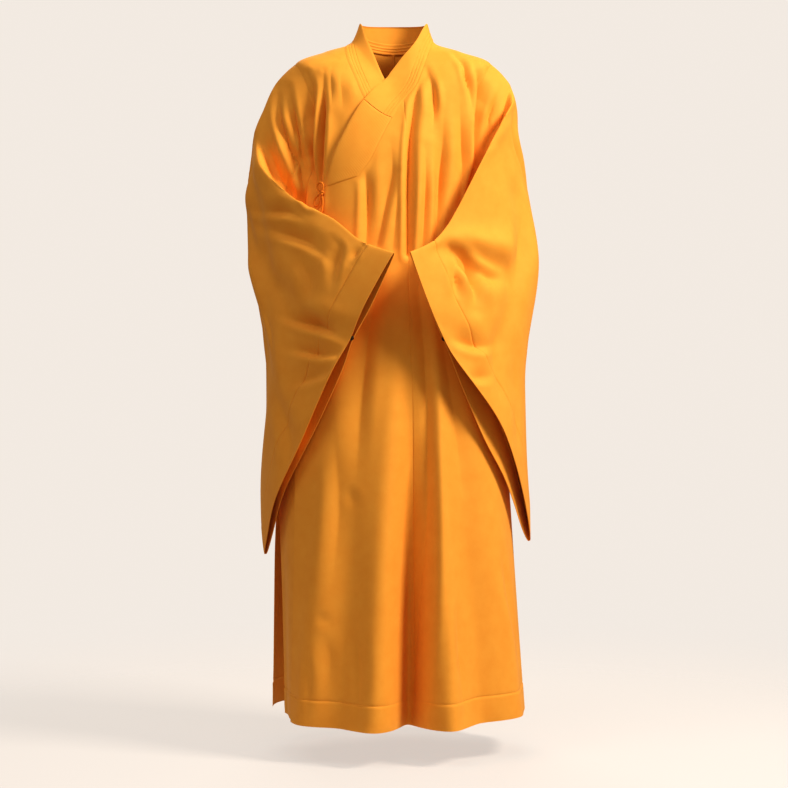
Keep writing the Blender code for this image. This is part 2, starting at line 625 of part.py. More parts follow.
# The tie's cords: points in metres from the knot, across the chest, out from it and up.
TIE_SPOT = on_front(-0.1400, -0.3140)
TIE_CORDS = {
    "tie_loop": [(-.0046, .0008, .0048), (-.0096, .0020, .0120), (-.0072, .0030, .0200),
                 (.0002, .0028, .0215), (.0040, .0018, .0150), (.0021, .0006, .0063)],
    "tie_loop_low": [(-.0058, .0010, -.0029), (-.0142, .0020, -.0105), (-.0160, .0016, -.0205),
                     (-.0105, .0010, -.0262), (-.0048, .0006, -.0170), (-.0031, .0004, -.0059)],
    "tie_end_long": [(.0022, .0000, -.0063), (.0038, .0000, -.0180), (.0030, .0000, -.0300),
                     (.0010, .0000, -.0420), (.0000, .0000, -.0520)],
}


def smooth_route(points, steps):
    """Return points along a smooth curve through a short list of points."""
    count = (len(points) - 1) * steps
    return [Vector(through_rows(points, index / steps)) for index in range(count + 1)]


def build_tie(cloth):
    """Add the small knotted tie at the outer end of the collar."""
    centre = body_point(*TIE_SPOT, TIE_LIFT)
    outward = surface_normal(ring_point, *TIE_SPOT, ANGLE_PROBE, LEVEL_PROBE)
    across = Vector((0.0, 0.0, 1.0)).cross(outward).normalized()
    upward = outward.cross(across)
    bpy.ops.mesh.primitive_uv_sphere_add(segments=KNOT_SEGMENTS, ring_count=KNOT_RINGS,
                                         radius=KNOT_RADIUS, location=centre)
    knot = bpy.context.object
    knot.name = "tie_knot"
    knot.data.materials.append(cloth)
    move_to_robe(knot)
    for name, points in TIE_CORDS.items():
        curve = bpy.data.curves.new(name, "CURVE")
        curve.dimensions = "3D"
        curve.bevel_depth = TIE_RADIUS
        curve.bevel_resolution = CORD_BEVEL_STEPS
        curve.use_fill_caps = True
        route = smooth_route(points, CORD_STEPS)
        line = curve.splines.new("POLY")
        line.points.add(len(route) - 1)
        for spot, (x, y, z) in zip(line.points, route):
            spot.co = (*(centre + across * x + outward * y + upward * z), 1.0)
        curve.materials.append(cloth)
        ROBE.objects.link(bpy.data.objects.new(name, curve))


# ---------------------------------------------------------------- the whole robe

def make_material(name, colour, roughness, metallic):
    """Return a Principled material."""
    material = bpy.data.materials.new(name)
    material.use_nodes = True
    shader = material.node_tree.nodes["Principled BSDF"]
    shader.inputs["Base Color"].default_value = (*colour, 1.0)
    shader.inputs["Roughness"].default_value = roughness
    shader.inputs["Metallic"].default_value = metallic
    return material


def build_robe():
    """Build every piece of the robe."""
    cloth = make_material("saffron_cloth", (0.87, 0.36, 0.04), 0.75, 0.0)
    build_body_left(cloth)
    build_body_right(cloth)
    build_overlap(cloth)
    build_collar(cloth)
    build_sleeve("sleeve_right", -1.0, RIGHT_LOOPS, cloth)
    build_sleeve("sleeve_left", 1.0, LEFT_LOOPS, cloth)
    build_tie(cloth)
    metal = make_material("dark_metal", (0.12, 0.10, 0.11), 0.35, 0.9)
    build_stud("stud_right", -1.0, RIGHT_LOOPS, metal)
    build_stud("stud_left", 1.0, LEFT_LOOPS, metal)


for leftover in list(bpy.data.objects):
    bpy.data.objects.remove(leftover, do_unlink=True)
ROBE = bpy.data.collections.new("buddhist_monk_robe")
bpy.context.scene.collection.children.link(ROBE)
build_robe()
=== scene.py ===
"""Dress the crossover robe in its cloth: creased sheets, stitching, quilting, tie and studs.

The cloth lies on the same two forms as the solids: the body form, lofted through rings from
the hem to the top of the collar, and the sleeve form, lofted through loops from the armhole
to the cuff. Each sheet is a fine grid laid on its form, and its creases are soft troughs
added one by one. Lengths are in metres, the front is -Y and the wearer's left is +X.
"""

import logging
import math
from dataclasses import dataclass, field
from enum import Enum
from typing import Callable, NamedTuple, Sequence

import bpy
import numpy as np
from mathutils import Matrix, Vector


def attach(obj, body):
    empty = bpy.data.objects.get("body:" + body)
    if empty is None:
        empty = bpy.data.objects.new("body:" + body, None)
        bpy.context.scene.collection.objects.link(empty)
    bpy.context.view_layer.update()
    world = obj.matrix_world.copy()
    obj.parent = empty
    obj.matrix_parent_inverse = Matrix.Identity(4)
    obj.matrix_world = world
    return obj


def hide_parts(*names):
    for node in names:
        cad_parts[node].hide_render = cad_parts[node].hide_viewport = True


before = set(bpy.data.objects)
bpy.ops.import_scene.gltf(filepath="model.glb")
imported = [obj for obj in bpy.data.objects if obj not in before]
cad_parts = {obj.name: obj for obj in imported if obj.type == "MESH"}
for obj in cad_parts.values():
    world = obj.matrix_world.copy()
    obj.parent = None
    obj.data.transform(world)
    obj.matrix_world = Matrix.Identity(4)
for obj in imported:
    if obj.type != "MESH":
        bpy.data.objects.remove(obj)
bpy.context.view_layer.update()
LOG = logging.getLogger("robe")
Array = np.ndarray
Spot = tuple[float, float]

# ---------------------------------------------------------------- sizes of the cloth

# The cloth, the double cloth of the collar's band, and the room left at their seams.
CLOTH_WALL = 0.0013
BAND_WALL = 0.0026
SEAM_GAP = 0.0002
COLLAR_GAP = 0.0009
NARROWEST_PANEL = 0.004
# A sewn edge runs on under its neighbour, on these shares of the tuck, and lies lower there.
TUCK = 0.004
TUCK_DROP = 0.0016
TUCK_SHARES = (0.2, 1.0)
UNTUCKED_SHARES = (0.01, 0.02)
TUCK_FADE = 0.2
# The overlap stands off the front below it, from one angle to the other in degrees.
LAYER_STEP = 0.0070
OVERLAP_FULL_ANGLE = 26.0
OVERLAP_FLAT_ANGLE = 62.0
BURIED_TURN = 8.0
HEM_DEPTH = 0.052
HEM_THICKENING = 0.0008
HEM_EDGE = 0.004
CUFF_FACING = 0.067
FACING_THICKENING = 0.0007
FACING_EDGE = 0.003
COLLAR_LINES = (0.0075, 0.0135, 0.0205)
STITCHED_STEPS = (-.0022, -.0012, -.0006, 0.0, .0006, .0012, .0022)
BAND_WIDTH = 0.057
BAND_TRIM = 0.012
# The quilting of the collar's end: its rows, its stitches, their puff and its plain margin.
QUILTING_ROW = 0.0044
QUILTING_STITCH = 0.0050
QUILTING_PUFF = 0.00020
QUILTING_MARGIN = 0.006

# The body form's levels, the blend between its sides, and the steps that read its slopes.
SHOULDER_LEVEL = 6.0
COLLAR_TOP_LEVEL = 9.0
SIDE_TURN = 2.0
ANGLE_PROBE = 0.6
LEVEL_PROBE = 0.02
# The search for a place on the front: its first guess, its largest steps and its length.
GUESSED_DEPTH = 0.14
WAIST_LEVEL = 4.0
LEVELS_A_METRE = 3.0
LARGEST_TURN = 8.0
LARGEST_RISE = 0.5
SEARCH_STEPS = 40
HALVING_STEPS = 18

# A crease's cross-section: how steep its trough is, and the low shoulders beside it.
CREASE_SHARPNESS = 1.45
CREASE_SHOULDER = 0.26
CREASE_REACH = 5.0
CREASE_STEPS = 6
CALM_REACH = 0.014

# The rows of a grid: how much closer they lie above a level, and beside the hem's stitching.
TRIAL_ROWS = 2400
ROW_LEVEL = 3.0
FRONT_ROWS = 3.2
BACK_ROWS = 1.8
HEM_STEPS = np.array([-.010, -.006, -.0035, -.0018, 0.0, .0018, .0035, .006, .010])

# The rows beside a cuff's edge, as distances from it, close at its stitching.
CUFF_ROWS = np.array([0.0, .0010, .0025, .0050, .0090, .014, .020, .027, .034, .041, .048, .054,
                      .059, .0625, .0648, .0660, .0668, .0676, .0690, .0715, .0755])

NO_LENGTH = 1e-12
NO_GAP = 1e-6
MERGE_GAP = 1e-5
SMOOTH_ANGLE = math.radians(50.0)


class Stitching(NamedTuple):
    """A line of stitching that draws the cloth in: its half width and its depth."""

    width: float
    depth: float

    def relief(self, gap: Array) -> Array:
        """Return the relief at distances from the line."""
        return -self.depth * np.exp(-(gap / self.width) ** 2)


SEAM = Stitching(0.0030, 0.0009)
HEM_LINE = Stitching(0.0022, 0.0014)
CUFF_LINE = Stitching(0.0015, 0.0015)
UNDERARM_SEAM = Stitching(0.0035, 0.0016)
COLLAR_LINE = Stitching(0.0011, 0.0008)
COLLAR_SEWN_EDGE = Stitching(0.0020, 0.0012)
COLLAR_FOLDED_EDGE = Stitching(0.0016, 0.0010)
QUILTING_EDGE = Stitching(0.0018, 0.0010)

# One ring a row, from the hem up. The heights differ between front, side and back.
# right_width left_width front_depth back_depth front_height side_height back_height squareness
BODY_RINGS = np.array([
    (0.254, 0.272, 0.262, 0.205, -1.388, -1.378, -1.384, 2.10),
    (0.249, 0.250, 0.236, 0.190, -1.070, -1.070, -1.070, 2.15),
    (0.228, 0.228, 0.203, 0.170, -0.750, -0.750, -0.750, 2.20),
    (0.206, 0.206, 0.170, 0.148, -0.500, -0.500, -0.500, 2.25),
    (0.198, 0.198, 0.146, 0.134, -0.335, -0.330, -0.330, 2.30),
    (0.203, 0.203, 0.128, 0.126, -0.225, -0.190, -0.200, 2.35),
    (0.208, 0.205, 0.105, 0.108, -0.150, -0.038, -0.115, 2.20),
    (0.145, 0.140, 0.086, 0.090, -0.112, -0.006, -0.045, 2.10),
    (0.088, 0.084, 0.066, 0.076, -0.075, 0.014, 0.002, 2.00),
    (0.070, 0.068, 0.054, 0.072, -0.030, 0.055, 0.062, 2.00),
])


class Fold(NamedTuple):
    """A main fold that runs up the body from its low to its high level; angles in degrees."""

    low_level: float
    high_level: float
    low_angle: float
    high_angle: float
    low_width: float
    high_width: float
    low_depth: float
    middle_rise: float


BODY_FOLDS = [
    Fold(0.0, 2.7, 8.0, 9.5, 0.042, 0.018, -0.085, 0.000),
    Fold(0.0, 2.8, -8.0, 0.0, 0.036, 0.018, 0.018, 0.000),
    Fold(0.0, 2.8, 23.0, 19.0, 0.030, 0.018, 0.022, 0.000),
    Fold(0.0, 2.6, -26.0, -14.0, 0.036, 0.022, -0.014, 0.000),
    Fold(0.0, 2.4, -42.0, -28.0, 0.034, 0.022, 0.012, 0.000),
    Fold(0.0, 2.0, -68.0, -74.0, 0.055, 0.040, -0.022, 0.000),
    Fold(0.0, 2.6, 43.0, 30.0, 0.045, 0.025, -0.022, 0.000),
    Fold(0.0, 2.4, 64.0, 52.0, 0.040, 0.030, 0.012, 0.000),
    Fold(0.0, 3.0, 116.0, 120.0, 0.042, 0.024, -0.022, 0.000),
    Fold(0.0, 3.6, 145.0, 150.0, 0.038, 0.022, -0.034, 0.000),
    Fold(0.0, 3.0, 172.0, 168.0, 0.036, 0.022, -0.018, 0.000),
    Fold(0.0, 3.7, 204.0, 198.0, 0.040, 0.022, -0.038, 0.000),
    Fold(0.0, 3.0, 236.0, 226.0, 0.042, 0.024, -0.024, 0.000),
    Fold(2.6, 6.2, 34.0, 42.0, 0.030, 0.020, 0.000, -0.009),
    Fold(2.6, 6.0, 20.0, 24.0, 0.026, 0.018, 0.000, 0.007),
    Fold(2.4, 5.0, -18.0, -8.0, 0.030, 0.022, 0.000, -0.007),
    Fold(3.6, 6.8, -58.0, -66.0, 0.022, 0.018, 0.000, -0.010),
    Fold(3.4, 7.2, 150.0, 146.0, 0.030, 0.020, 0.000, -0.010),
    Fold(3.2, 7.2, 214.0, 212.0, 0.030, 0.020, 0.000, -0.010),
]


class Crease(NamedTuple):
    """A small crease: its line, its half width and its depths from start to end.

    The line is in x and z as seen from the front. A depth below zero makes a ridge. Its lean
    makes it gentle on the left of its line, as it runs, and steep on the right.
    """

    line: tuple[Spot, ...]
    width: float
    start: float
    middle: float
    end: float
    lean: float = 0.0


# Chest and skirt, on the wearer's right and then on the wearer's left.
FRONT_CREASES = [
    Crease(((-.180, -.059), (-.173, -.102), (-.177, -.181), (-.169, -.281), (-.159, -.345)),
           .0085, .002, .020, .012, -.25),
    Crease(((-.147, -.055), (-.151, -.102), (-.156, -.181), (-.158, -.290), (-.155, -.336)),
           .0080, .002, .019, .012, .25),
    Crease(((-.163, -.080), (-.164, -.190), (-.163, -.300)), .0070, -.001, -.006, -.002),
    Crease(((-.128, -.050), (-.131, -.092), (-.128, -.140)), .0095, .002, .007, .000),
    Crease(((-.106, -.052), (-.109, -.090), (-.104, -.150)), .0120, .001, .005, .000),
    Crease(((-.135, -.130), (-.132, -.190), (-.138, -.260)), .0100, .000, -.004, .000),
    Crease(((.060, -.060), (.048, -.098), (.038, -.150), (.030, -.215), (.027, -.300),
            (.026, -.440)), .0080, .004, .014, .010, .30),
    Crease(((.066, -.052), (.078, -.090), (.083, -.134), (.079, -.190)),
           .0085, .001, .012, .001, -.20),
    Crease(((.112, -.003), (.135, -.028), (.149, -.068), (.158, -.105), (.163, -.145)),
           .0078, .001, .011, .002, .20),
    Crease(((.146, -.022), (.168, -.050), (.177, -.080), (.178, -.120), (.173, -.170),
            (.171, -.210), (.167, -.255), (.155, -.310)), .0085, .002, .018, .010, .15),
    Crease(((.133, -.110), (.139, -.180), (.143, -.250), (.136, -.340)),
           .0110, .001, .011, .003, -.25),
    Crease(((-.060, -.255), (-.055, -.330), (-.059, -.430)), .0100, .003, .014, .009, .30),
    Crease(((-.006, -.215), (-.003, -.268), (-.016, -.335), (-.034, -.420)),
           .0110, .001, .010, .006, -.25),
    Crease(((.061, -.224), (.061, -.306), (.055, -.440)), .0095, .002, .012, .009, .25),
    Crease(((.102, -.150), (.103, -.215), (.095, -.310), (.080, -.430)),
           .0110, .001, .011, .007, -.25),
    Crease(((.080, -.200), (.078, -.300), (.070, -.430)), .0080, .000, -.004, -.003),
    Crease(((.010, -.275), (.004, -.357), (-.002, -.430)), .0090, .001, .004, .003),
    Crease(((.046, -.480), (.059, -.617), (.066, -.740), (.070, -.903), (.068, -1.051),
            (.061, -1.208), (.052, -1.386)), .0170, .002, .022, .022, -.42),
    Crease(((-.094, -.905), (-.084, -.930), (-.071, -.952)), .0100, .000, .0025, .000),
    Crease(((-.118, -.760), (-.110, -.954), (-.124, -1.150)), .0200, .000, .0080, .000, .25),
    Crease(((-.150, -1.163), (-.134, -1.172), (-.115, -1.176)), .0080, .000, .0030, .000),
    Crease(((-.140, -1.190), (-.128, -1.250), (-.132, -1.330)), .0120, .000, .0050, .001),
    Crease(((-.165, -1.230), (-.160, -1.300), (-.163, -1.370)), .0100, .000, .0040, .001),
    Crease(((-.075, -1.180), (-.066, -1.280), (-.070, -1.375)), .0140, .000, .0060, .002,
           .20),
    Crease(((.120, -1.120), (.128, -1.240), (.138, -1.350)), .0140, .000, .0070, .002, .25),
    Crease(((.205, -1.000), (.228, -1.130), (.252, -1.260)), .0160, .000, .0080, .002),
    Crease(((.085, -.560), (.120, -.760), (.150, -.980)), .0200, .001, .0070, .000, .25),
    Crease(((-.035, -.500), (-.062, -.700), (-.078, -.920)), .0180, .003, .0080, .000, -.25),
    Crease(((.046, -.520), (.066, -.680), (.078, -.860)), .0130, .003, .0060, .000),
]

# The back's creases, with their lines in angles and levels: first from the shoulders and the
# armpits, then down the skirt.
BACK_CREASES = [
    Crease(((126, 6.7), (132, 6.0), (138, 5.0), (141, 4.2), (142, 3.2)),
           .0120, .001, .011, .002, .30),
    Crease(((234, 6.8), (229, 6.0), (224, 5.0), (221, 3.9)), .0110, .001, .010, .001, -.30),
    Crease(((148, 6.9), (152, 6.2), (154, 5.2)), .0130, .001, .007, .000, .20),
    Crease(((209, 6.6), (206, 5.8), (205, 4.9)), .0120, .000, .006, .000, -.20),
    Crease(((116, 4.8), (124, 4.2), (133, 3.6), (141, 2.8)), .0130, .005, .012, .002, .35),
    Crease(((112, 4.1), (119, 3.6), (125, 3.0), (127, 2.1)), .0110, .004, .010, .001, .25),
    Crease(((244, 4.9), (236, 4.3), (227, 3.7), (220, 2.9)), .0130, .005, .011, .002, -.35),
    Crease(((248, 4.2), (241, 3.6), (236, 2.9), (234, 1.9)), .0110, .004, .010, .001, -.25),
    Crease(((163, 5.8), (166, 4.7), (165, 3.5), (161, 2.0)), .0160, .000, .008, .002, .20),
    Crease(((194, 6.0), (197, 5.0), (200, 3.9), (205, 2.5)), .0150, .000, .009, .002, -.20),
    Crease(((180, 4.4), (178, 3.6), (181, 2.8)), .0130, .000, .005, .000),
    Crease(((152, 2.8), (150, 1.6), (147, 0.5)), .0160, .001, .010, .004, .30),
    Crease(((179, 2.5), (183, 1.3), (184, 0.0)), .0150, .001, .010, .006, -.30),
    Crease(((213, 2.9), (217, 1.6), (219, 0.2)), .0150, .001, .011, .004, .30),
    Crease(((133, 2.0), (128, 1.0), (126, 0.0)), .0140, .001, .008, .004, -.20),
    Crease(((240, 1.9), (243, 0.9), (244, 0.0)), .0140, .001, .008, .003, .20),
    Crease(((197, 1.4), (199, 0.7), (201, 0.0)), .0120, .000, .006, .004),
    Crease(((99, 2.8), (102, 1.6), (99, 0.3)), .0160, .000, .010, .002, .30),
    Crease(((258, 2.7), (262, 1.5), (265, 0.4)), .0150, .000, .009, .002, -.30),
]


def blend(low: Array | float, high: Array | float, share: Array | float) -> Array | float:
    """Return the value at a share of the way from low to high."""
    return low + (high - low) * share


def ease(share: Array | float) -> Array | float:
    """Return a share with a smooth start and finish."""
    share = np.clip(share, 0.0, 1.0)
    return share * share * (3.0 - 2.0 * share)


def cubic(start: Array, finish: Array, slope_in: Array, slope_out: Array,
          share: Array) -> Array:
    """Return points of a curve between two ends.

    Args:
        start: The curve's first end.
        finish: Its other end.
        slope_in: Its slope at the first end.
        slope_out: Its slope at the other end.
        share: How far along it the points lie, from 0 to 1.

    Returns:
        A point for each share.
    """
    return (start + share * slope_in
            + share ** 2 * (3.0 * (finish - start) - 2.0 * slope_in - slope_out)
            + share ** 3 * (2.0 * (start - finish) + slope_in + slope_out))


def gentle_slope(before: Array, after: Array) -> Array:
    """Return slopes that keep a curve from overshooting its rows.

    Args:
        before: The rise from the row before.
        after: The rise to the row after.

    Returns:
        The slopes, zero where the rows turn.
    """
    total = before + after
    safe = np.where(np.abs(total) < NO_LENGTH, 1.0, total)
    return np.where(before * after <= 0.0, 0.0, 2.0 * before * after / safe)


def through_rows(rows: Array, place: Array) -> Array:
    """Return a smooth curve through rows, read at places in row numbers.

    Args:
        rows: Values, a row each, or (rows, points, values) with rows of its own a point.
        place: One place a point.

    Returns:
        The values at each place.
    """
    last = len(rows) - 1
    place = np.clip(np.asarray(place, dtype=float), 0.0, last)
    row = np.minimum(place.astype(int), last - 1)
    share = (place - row)[..., None]
    points = (np.arange(rows.shape[1]),) if rows.ndim == 3 else ()
    before, start = rows[(np.maximum(row - 1, 0), *points)], rows[(row, *points)]
    finish, after = rows[(row + 1, *points)], rows[(np.minimum(row + 2, last), *points)]
    slope_in = gentle_slope(start - before, finish - start)
    slope_out = gentle_slope(finish - start, after - finish)
    return cubic(start, finish, slope_in, slope_out, share)


def round_route(rows: Array, steps: int) -> Array:
    """Return the roundest curve through points.

    Args:
        rows: The points, one a row.
        steps: The number of steps from each point to the next.

    Returns:
        The curve's points, one a row.
    """
    count = len(rows)
    shares = 4.0 * np.eye(count) + np.eye(count, k=1) + np.eye(count, k=-1)
    shares[0, 0] = shares[-1, -1] = 2.0
    ends = np.vstack([rows[:1], rows, rows[-1:]])
    slopes = np.linalg.solve(shares, 3.0 * (ends[2:] - ends[:-2]))
    place = np.linspace(0.0, len(rows) - 1.0, (len(rows) - 1) * steps + 1)
    row = np.minimum(place.astype(int), len(rows) - 2)
    share = (place - row)[:, None]
    return cubic(rows[row], rows[row + 1], slopes[row], slopes[row + 1], share)


def unit(vectors: Array) -> Array:
    """Return vectors with a length of one."""
    return vectors / np.maximum(np.linalg.norm(vectors, axis=-1, keepdims=True), NO_LENGTH)


def distance_to_line(points: Array, line: Array) -> tuple[Array, Array, Array]:
    """Return each point's distance to a line of points, and where it lies beside it.

    Args:
        points: The points, one a row.
        line: The line's own points in order.

    Returns:
        The distances, the shares from 0 at the line's start to 1 at its end, and how far the
        points lie to the left of the line seen from the front, from -1 to 1.
    """
    spans = line[1:] - line[:-1]
    lengths = np.linalg.norm(spans, axis=1)
    begun = np.concatenate([[0.0], np.cumsum(lengths)])
    nearest = np.full(len(points), np.inf)
    share = np.zeros(len(points))
    side = np.zeros(len(points))
    for number, span in enumerate(spans):
        reach = points - line[number]
        part = np.clip(reach @ span / max(lengths[number] ** 2, NO_LENGTH), 0.0, 1.0)
        gap = np.linalg.norm(reach - part[:, None] * span, axis=1)
        turn = ((span[0] * reach[:, -1] - span[-1] * reach[:, 0])
                / max(lengths[number], NO_LENGTH))
        closer = gap < nearest
        nearest = np.where(closer, gap, nearest)
        share = np.where(closer, (begun[number] + part * lengths[number]) / begun[-1], share)
        side = np.where(closer, turn / np.maximum(gap, NO_GAP), side)
    return nearest, share, np.clip(side, -1.0, 1.0)


def crease_relief(points: Array, creases: Sequence[tuple[Array, Crease]]) -> Array:
    """Return how far creases move points outwards.

    Args:
        points: The points, one a row.
        creases: Each crease with its line laid on the cloth.

    Returns:
        One height a point, below zero in a trough.
    """
    relief = np.zeros(len(points))
    for line, crease in creases:
        reach = CREASE_REACH * crease.width
        near = np.all((points[:, :line.shape[1]] > line.min(axis=0) - reach)
                      & (points[:, :line.shape[1]] < line.max(axis=0) + reach), axis=1)
        if not near.any():
            continue
        gap, share, side = distance_to_line(points[near][:, :line.shape[1]], line)
        early = blend(crease.start, crease.middle, ease(share * 2.0))
        late = blend(crease.middle, crease.end, ease(share * 2.0 - 1.0))
        depth = np.where(share < 0.5, early, late)
        far = gap / (crease.width * (1.0 + crease.lean * side))
        shape = np.exp(-far ** CREASE_SHARPNESS) - CREASE_SHOULDER * np.exp(-(far - 2.0) ** 2)
        relief[near] -= depth * shape
    return relief


def close_places(count: int) -> Array:
    """Return places along a number of spots, a few to each span."""
    return np.linspace(0.0, count - 1.0, (count - 1) * CREASE_STEPS + 1)


def smooth_lines(creases: Sequence[Crease]) -> list[tuple[Array, Crease]]:
    """Return creases, each with a smooth line through its spots."""
    return [(through_rows(np.array(crease.line), close_places(len(crease.line))), crease)
            for crease in creases]


class BodyForm:
    """The body's form: its rings, its main folds and its small creases."""

    def plain(self, angle: Array, level: Array) -> Array:
        """Return points of the form without its folds.

        Args:
            angle: Angles in degrees from the front, towards the wearer's left.
            level: Levels in ring numbers, from the hem up.

        Returns:
            The points, one a row.
        """
        ring = through_rows(BODY_RINGS, level)
        right, left, front, back, front_high, side_high, back_high, power = ring.T
        sine, cosine = np.sin(np.radians(angle)), np.cos(np.radians(angle))
        width = blend(right, left, ease(0.5 + SIDE_TURN * sine))
        depth = blend(back, front, ease(0.5 + SIDE_TURN * cosine))
        radius = (np.abs(sine / width) ** power
                  + np.abs(cosine / depth) ** power) ** (-1.0 / power)
        height = blend(side_high, np.where(cosine > 0.0, front_high, back_high), cosine ** 2)
        return np.stack([radius * sine, -radius * cosine, height], axis=-1)

    def folds(self, angle: Array, level: Array) -> Array:
        """Return how far the main folds move the form outwards.

        Args:
            angle: Angles in degrees.
            level: Levels in ring numbers.

        Returns:
            One height a point.
        """
        radius = np.linalg.norm(self.plain(angle, level)[:, :2], axis=1)
        relief = np.zeros(len(radius))
        for fold in BODY_FOLDS:
            share = (level - fold.low_level) / (fold.high_level - fold.low_level)
            inside = (share >= 0.0) & (share < 1.0)
            centre = blend(fold.low_angle, fold.high_angle, share)
            width = blend(fold.low_width, fold.high_width, share)
            depth = fold.low_depth * (1.0 - ease(share))
            depth += fold.middle_rise * np.sin(np.pi * share) ** 2
            turn = (angle - centre + 180.0) % 360.0 - 180.0
            fall = np.exp(-(radius * np.radians(turn) / np.where(inside, width, 1.0)) ** 2)
            relief += np.where(inside, depth * fall, 0.0)
        return relief

    def normal(self, angle: Array, level: Array) -> Array:
        """Return the plain form's outward directions.

        Args:
            angle: Angles in degrees.
            level: Levels in ring numbers.

        Returns:
            One direction a point.
        """
        level = np.clip(level, LEVEL_PROBE, COLLAR_TOP_LEVEL - LEVEL_PROBE)
        across = self.plain(angle + ANGLE_PROBE, level) - self.plain(angle - ANGLE_PROBE, level)
        along = self.plain(angle, level + LEVEL_PROBE) - self.plain(angle, level - LEVEL_PROBE)
        return unit(np.cross(across, along))

    def draped(self, angle: Array, level: Array) -> Array:
        """Return points of the form with its main folds.

        Args:
            angle: Angles in degrees.
            level: Levels in ring numbers.

        Returns:
            The points, one a row.
        """
        point = self.plain(angle, level)
        outward = unit(point * np.array([1.0, 1.0, 0.0]))
        return point + outward * self.folds(angle, level)[:, None]

    def point(self, angle: Array, level: Array, lift: Array | float = 0.0) -> Array:
        """Return points of the form, moved outwards by a lift."""
        lift = np.broadcast_to(lift, np.shape(angle))[:, None]
        return self.draped(angle, level) + self.normal(angle, level) * lift

    def front_spots(self, places: Sequence[Spot]) -> Array:
        """Return the spots of the front that lie at places seen from the front.

        Args:
            places: Each place's x and z.

        Returns:
            The spots, an angle and a level a row.
        """
        x, z = np.array(places, dtype=float).T
        angle = np.degrees(np.arctan2(x, GUESSED_DEPTH))
        level = np.clip(WAIST_LEVEL + z * LEVELS_A_METRE, 0.0, COLLAR_TOP_LEVEL)
        for _ in range(SEARCH_STEPS):
            level = np.clip(level, 0.0, COLLAR_TOP_LEVEL)
            here = self.plain(angle, level)
            turned = (self.plain(angle + ANGLE_PROBE, level) - here) / ANGLE_PROBE
            raised = (self.plain(angle, level + LEVEL_PROBE) - here) / LEVEL_PROBE
            spread = turned[:, 0] * raised[:, 2] - raised[:, 0] * turned[:, 2]
            miss_x, miss_z = x - here[:, 0], z - here[:, 2]
            angle = angle + np.clip((miss_x * raised[:, 2] - raised[:, 0] * miss_z) / spread,
                                    -LARGEST_TURN, LARGEST_TURN)
            level = level + np.clip((turned[:, 0] * miss_z - miss_x * turned[:, 2]) / spread,
                                    -LARGEST_RISE, LARGEST_RISE)
        return np.stack([angle, np.clip(level, 0.0, COLLAR_TOP_LEVEL)], axis=-1)

    def lay_line(self, spots: Array) -> Array:
        """Return a smooth line of points on the plain form through spots."""
        return self.plain(*along_line(spots, close_places(len(spots))).T)

    def lay_creases(self, creases: Sequence[Crease]) -> list[tuple[Array, Crease]]:
        """Return creases with their lines laid on the form's front."""
        return [(self.lay_line(self.front_spots(crease.line)), crease) for crease in creases]


BODY = BodyForm()


# ---------------------------------------------------------------- seam lines

def spots_of(*spots: Spot | Array) -> Array:
    """Return spots as an array of angles and levels."""
    return np.array([tuple(spot) for spot in spots], dtype=float)


def mirrored(spots: Array) -> Array:
    """Return spots on the other side of the centre plane."""
    return spots * np.array([-1.0, 1.0])


def round_back(spots: Array) -> Array:
    """Return the wearer's right spots with their angles counted round the back."""
    return spots + np.array([360.0, 0.0])


def neck_line(front: Sequence[Spot], round_neck: Sequence[Spot]) -> Array:
    """Return a line of spots: places on the front, then spots round the neck."""
    return np.vstack([BODY.front_spots(front), np.array(round_neck)])


OUTER_SEWN = neck_line(
    [(-.0735, -.2815), (-.049, -.250), (-.028, -.207), (-.004, -.160), (.022, -.122),
     (.047, -.090), (.0615, -.050), (.072, -.012)],
    [(90.0, 8.1), (118.0, 8.0), (150.0, 8.0), (180.0, 8.0)])
INNER_SEWN = neck_line(
    [(.030, -.230), (.000, -.190), (-.060, -.118), (-.082, -.068), (-.101, -.015)],
    [(-90.0, 7.75), (-118.0, 8.0), (-150.0, 8.0), (-180.0, 8.0)])
OUTER_FREE = neck_line(
    [(-.139, -.303), (-.118, -.226), (-.094, -.175), (-.063, -.121), (-.037, -.090),
     (-.005, -.056), (.024, -.018), (.046, .014)],
    [(90.0, 9.0), (118.0, 9.0), (150.0, 9.0), (180.0, 9.0)])
INNER_FREE = neck_line(
    [(.075, -.195), (.045, -.150), (-.016, -.078), (-.038, -.028), (-.058, .022)],
    [(-90.0, 9.0), (-118.0, 9.0), (-150.0, 9.0), (-180.0, 9.0)])
# Where the collar's end and the centre seam meet the collar's sewn edge, in its spot numbers,
# and where the right panel's back seam starts, in stations along its far edge.
PATCH_SPOT = 3
CENTRE_SPOT = 4
BACK_SEAM_STATION = 13.0
ARMHOLE_FRONT = spots_of((90.0, 3.45), (75.0, 3.85), (68.0, 4.40), (66.0, 5.00), (70.0, 5.55),
                         (79.0, 5.93), (90.0, 6.16))
ARMHOLE_BACK = spots_of((90.0, 3.45), (104.0, 3.85), (111.0, 4.35), (113.0, 4.90),
                        (109.0, 5.45), (100.0, 5.92), (90.0, 6.16))
OVERLAP_EDGE = np.vstack([
    BODY.front_spots([(-.200, -1.385), (-.197, -1.070), (-.190, -.750), (-.172, -.500),
                      (-.150, -.370)]),
    OUTER_FREE[:1], (OUTER_FREE[:1] + OUTER_SEWN[:1]) / 2.0])
CENTRE_SEAM = spots_of((13.5, 0.0), (12.4, 1.0), (11.3, 2.0), (10.2, 3.0),
                       *(blend(np.array([10.2, 3.0]), OUTER_SEWN[CENTRE_SPOT], share)
                         for share in (0.25, 0.5, 0.75, 1.0)))
SIDE_SEAM = spots_of((90.0, 0.0), (90.0, 1.0), (90.0, 2.0), (90.0, 3.0), (90.0, 3.45))
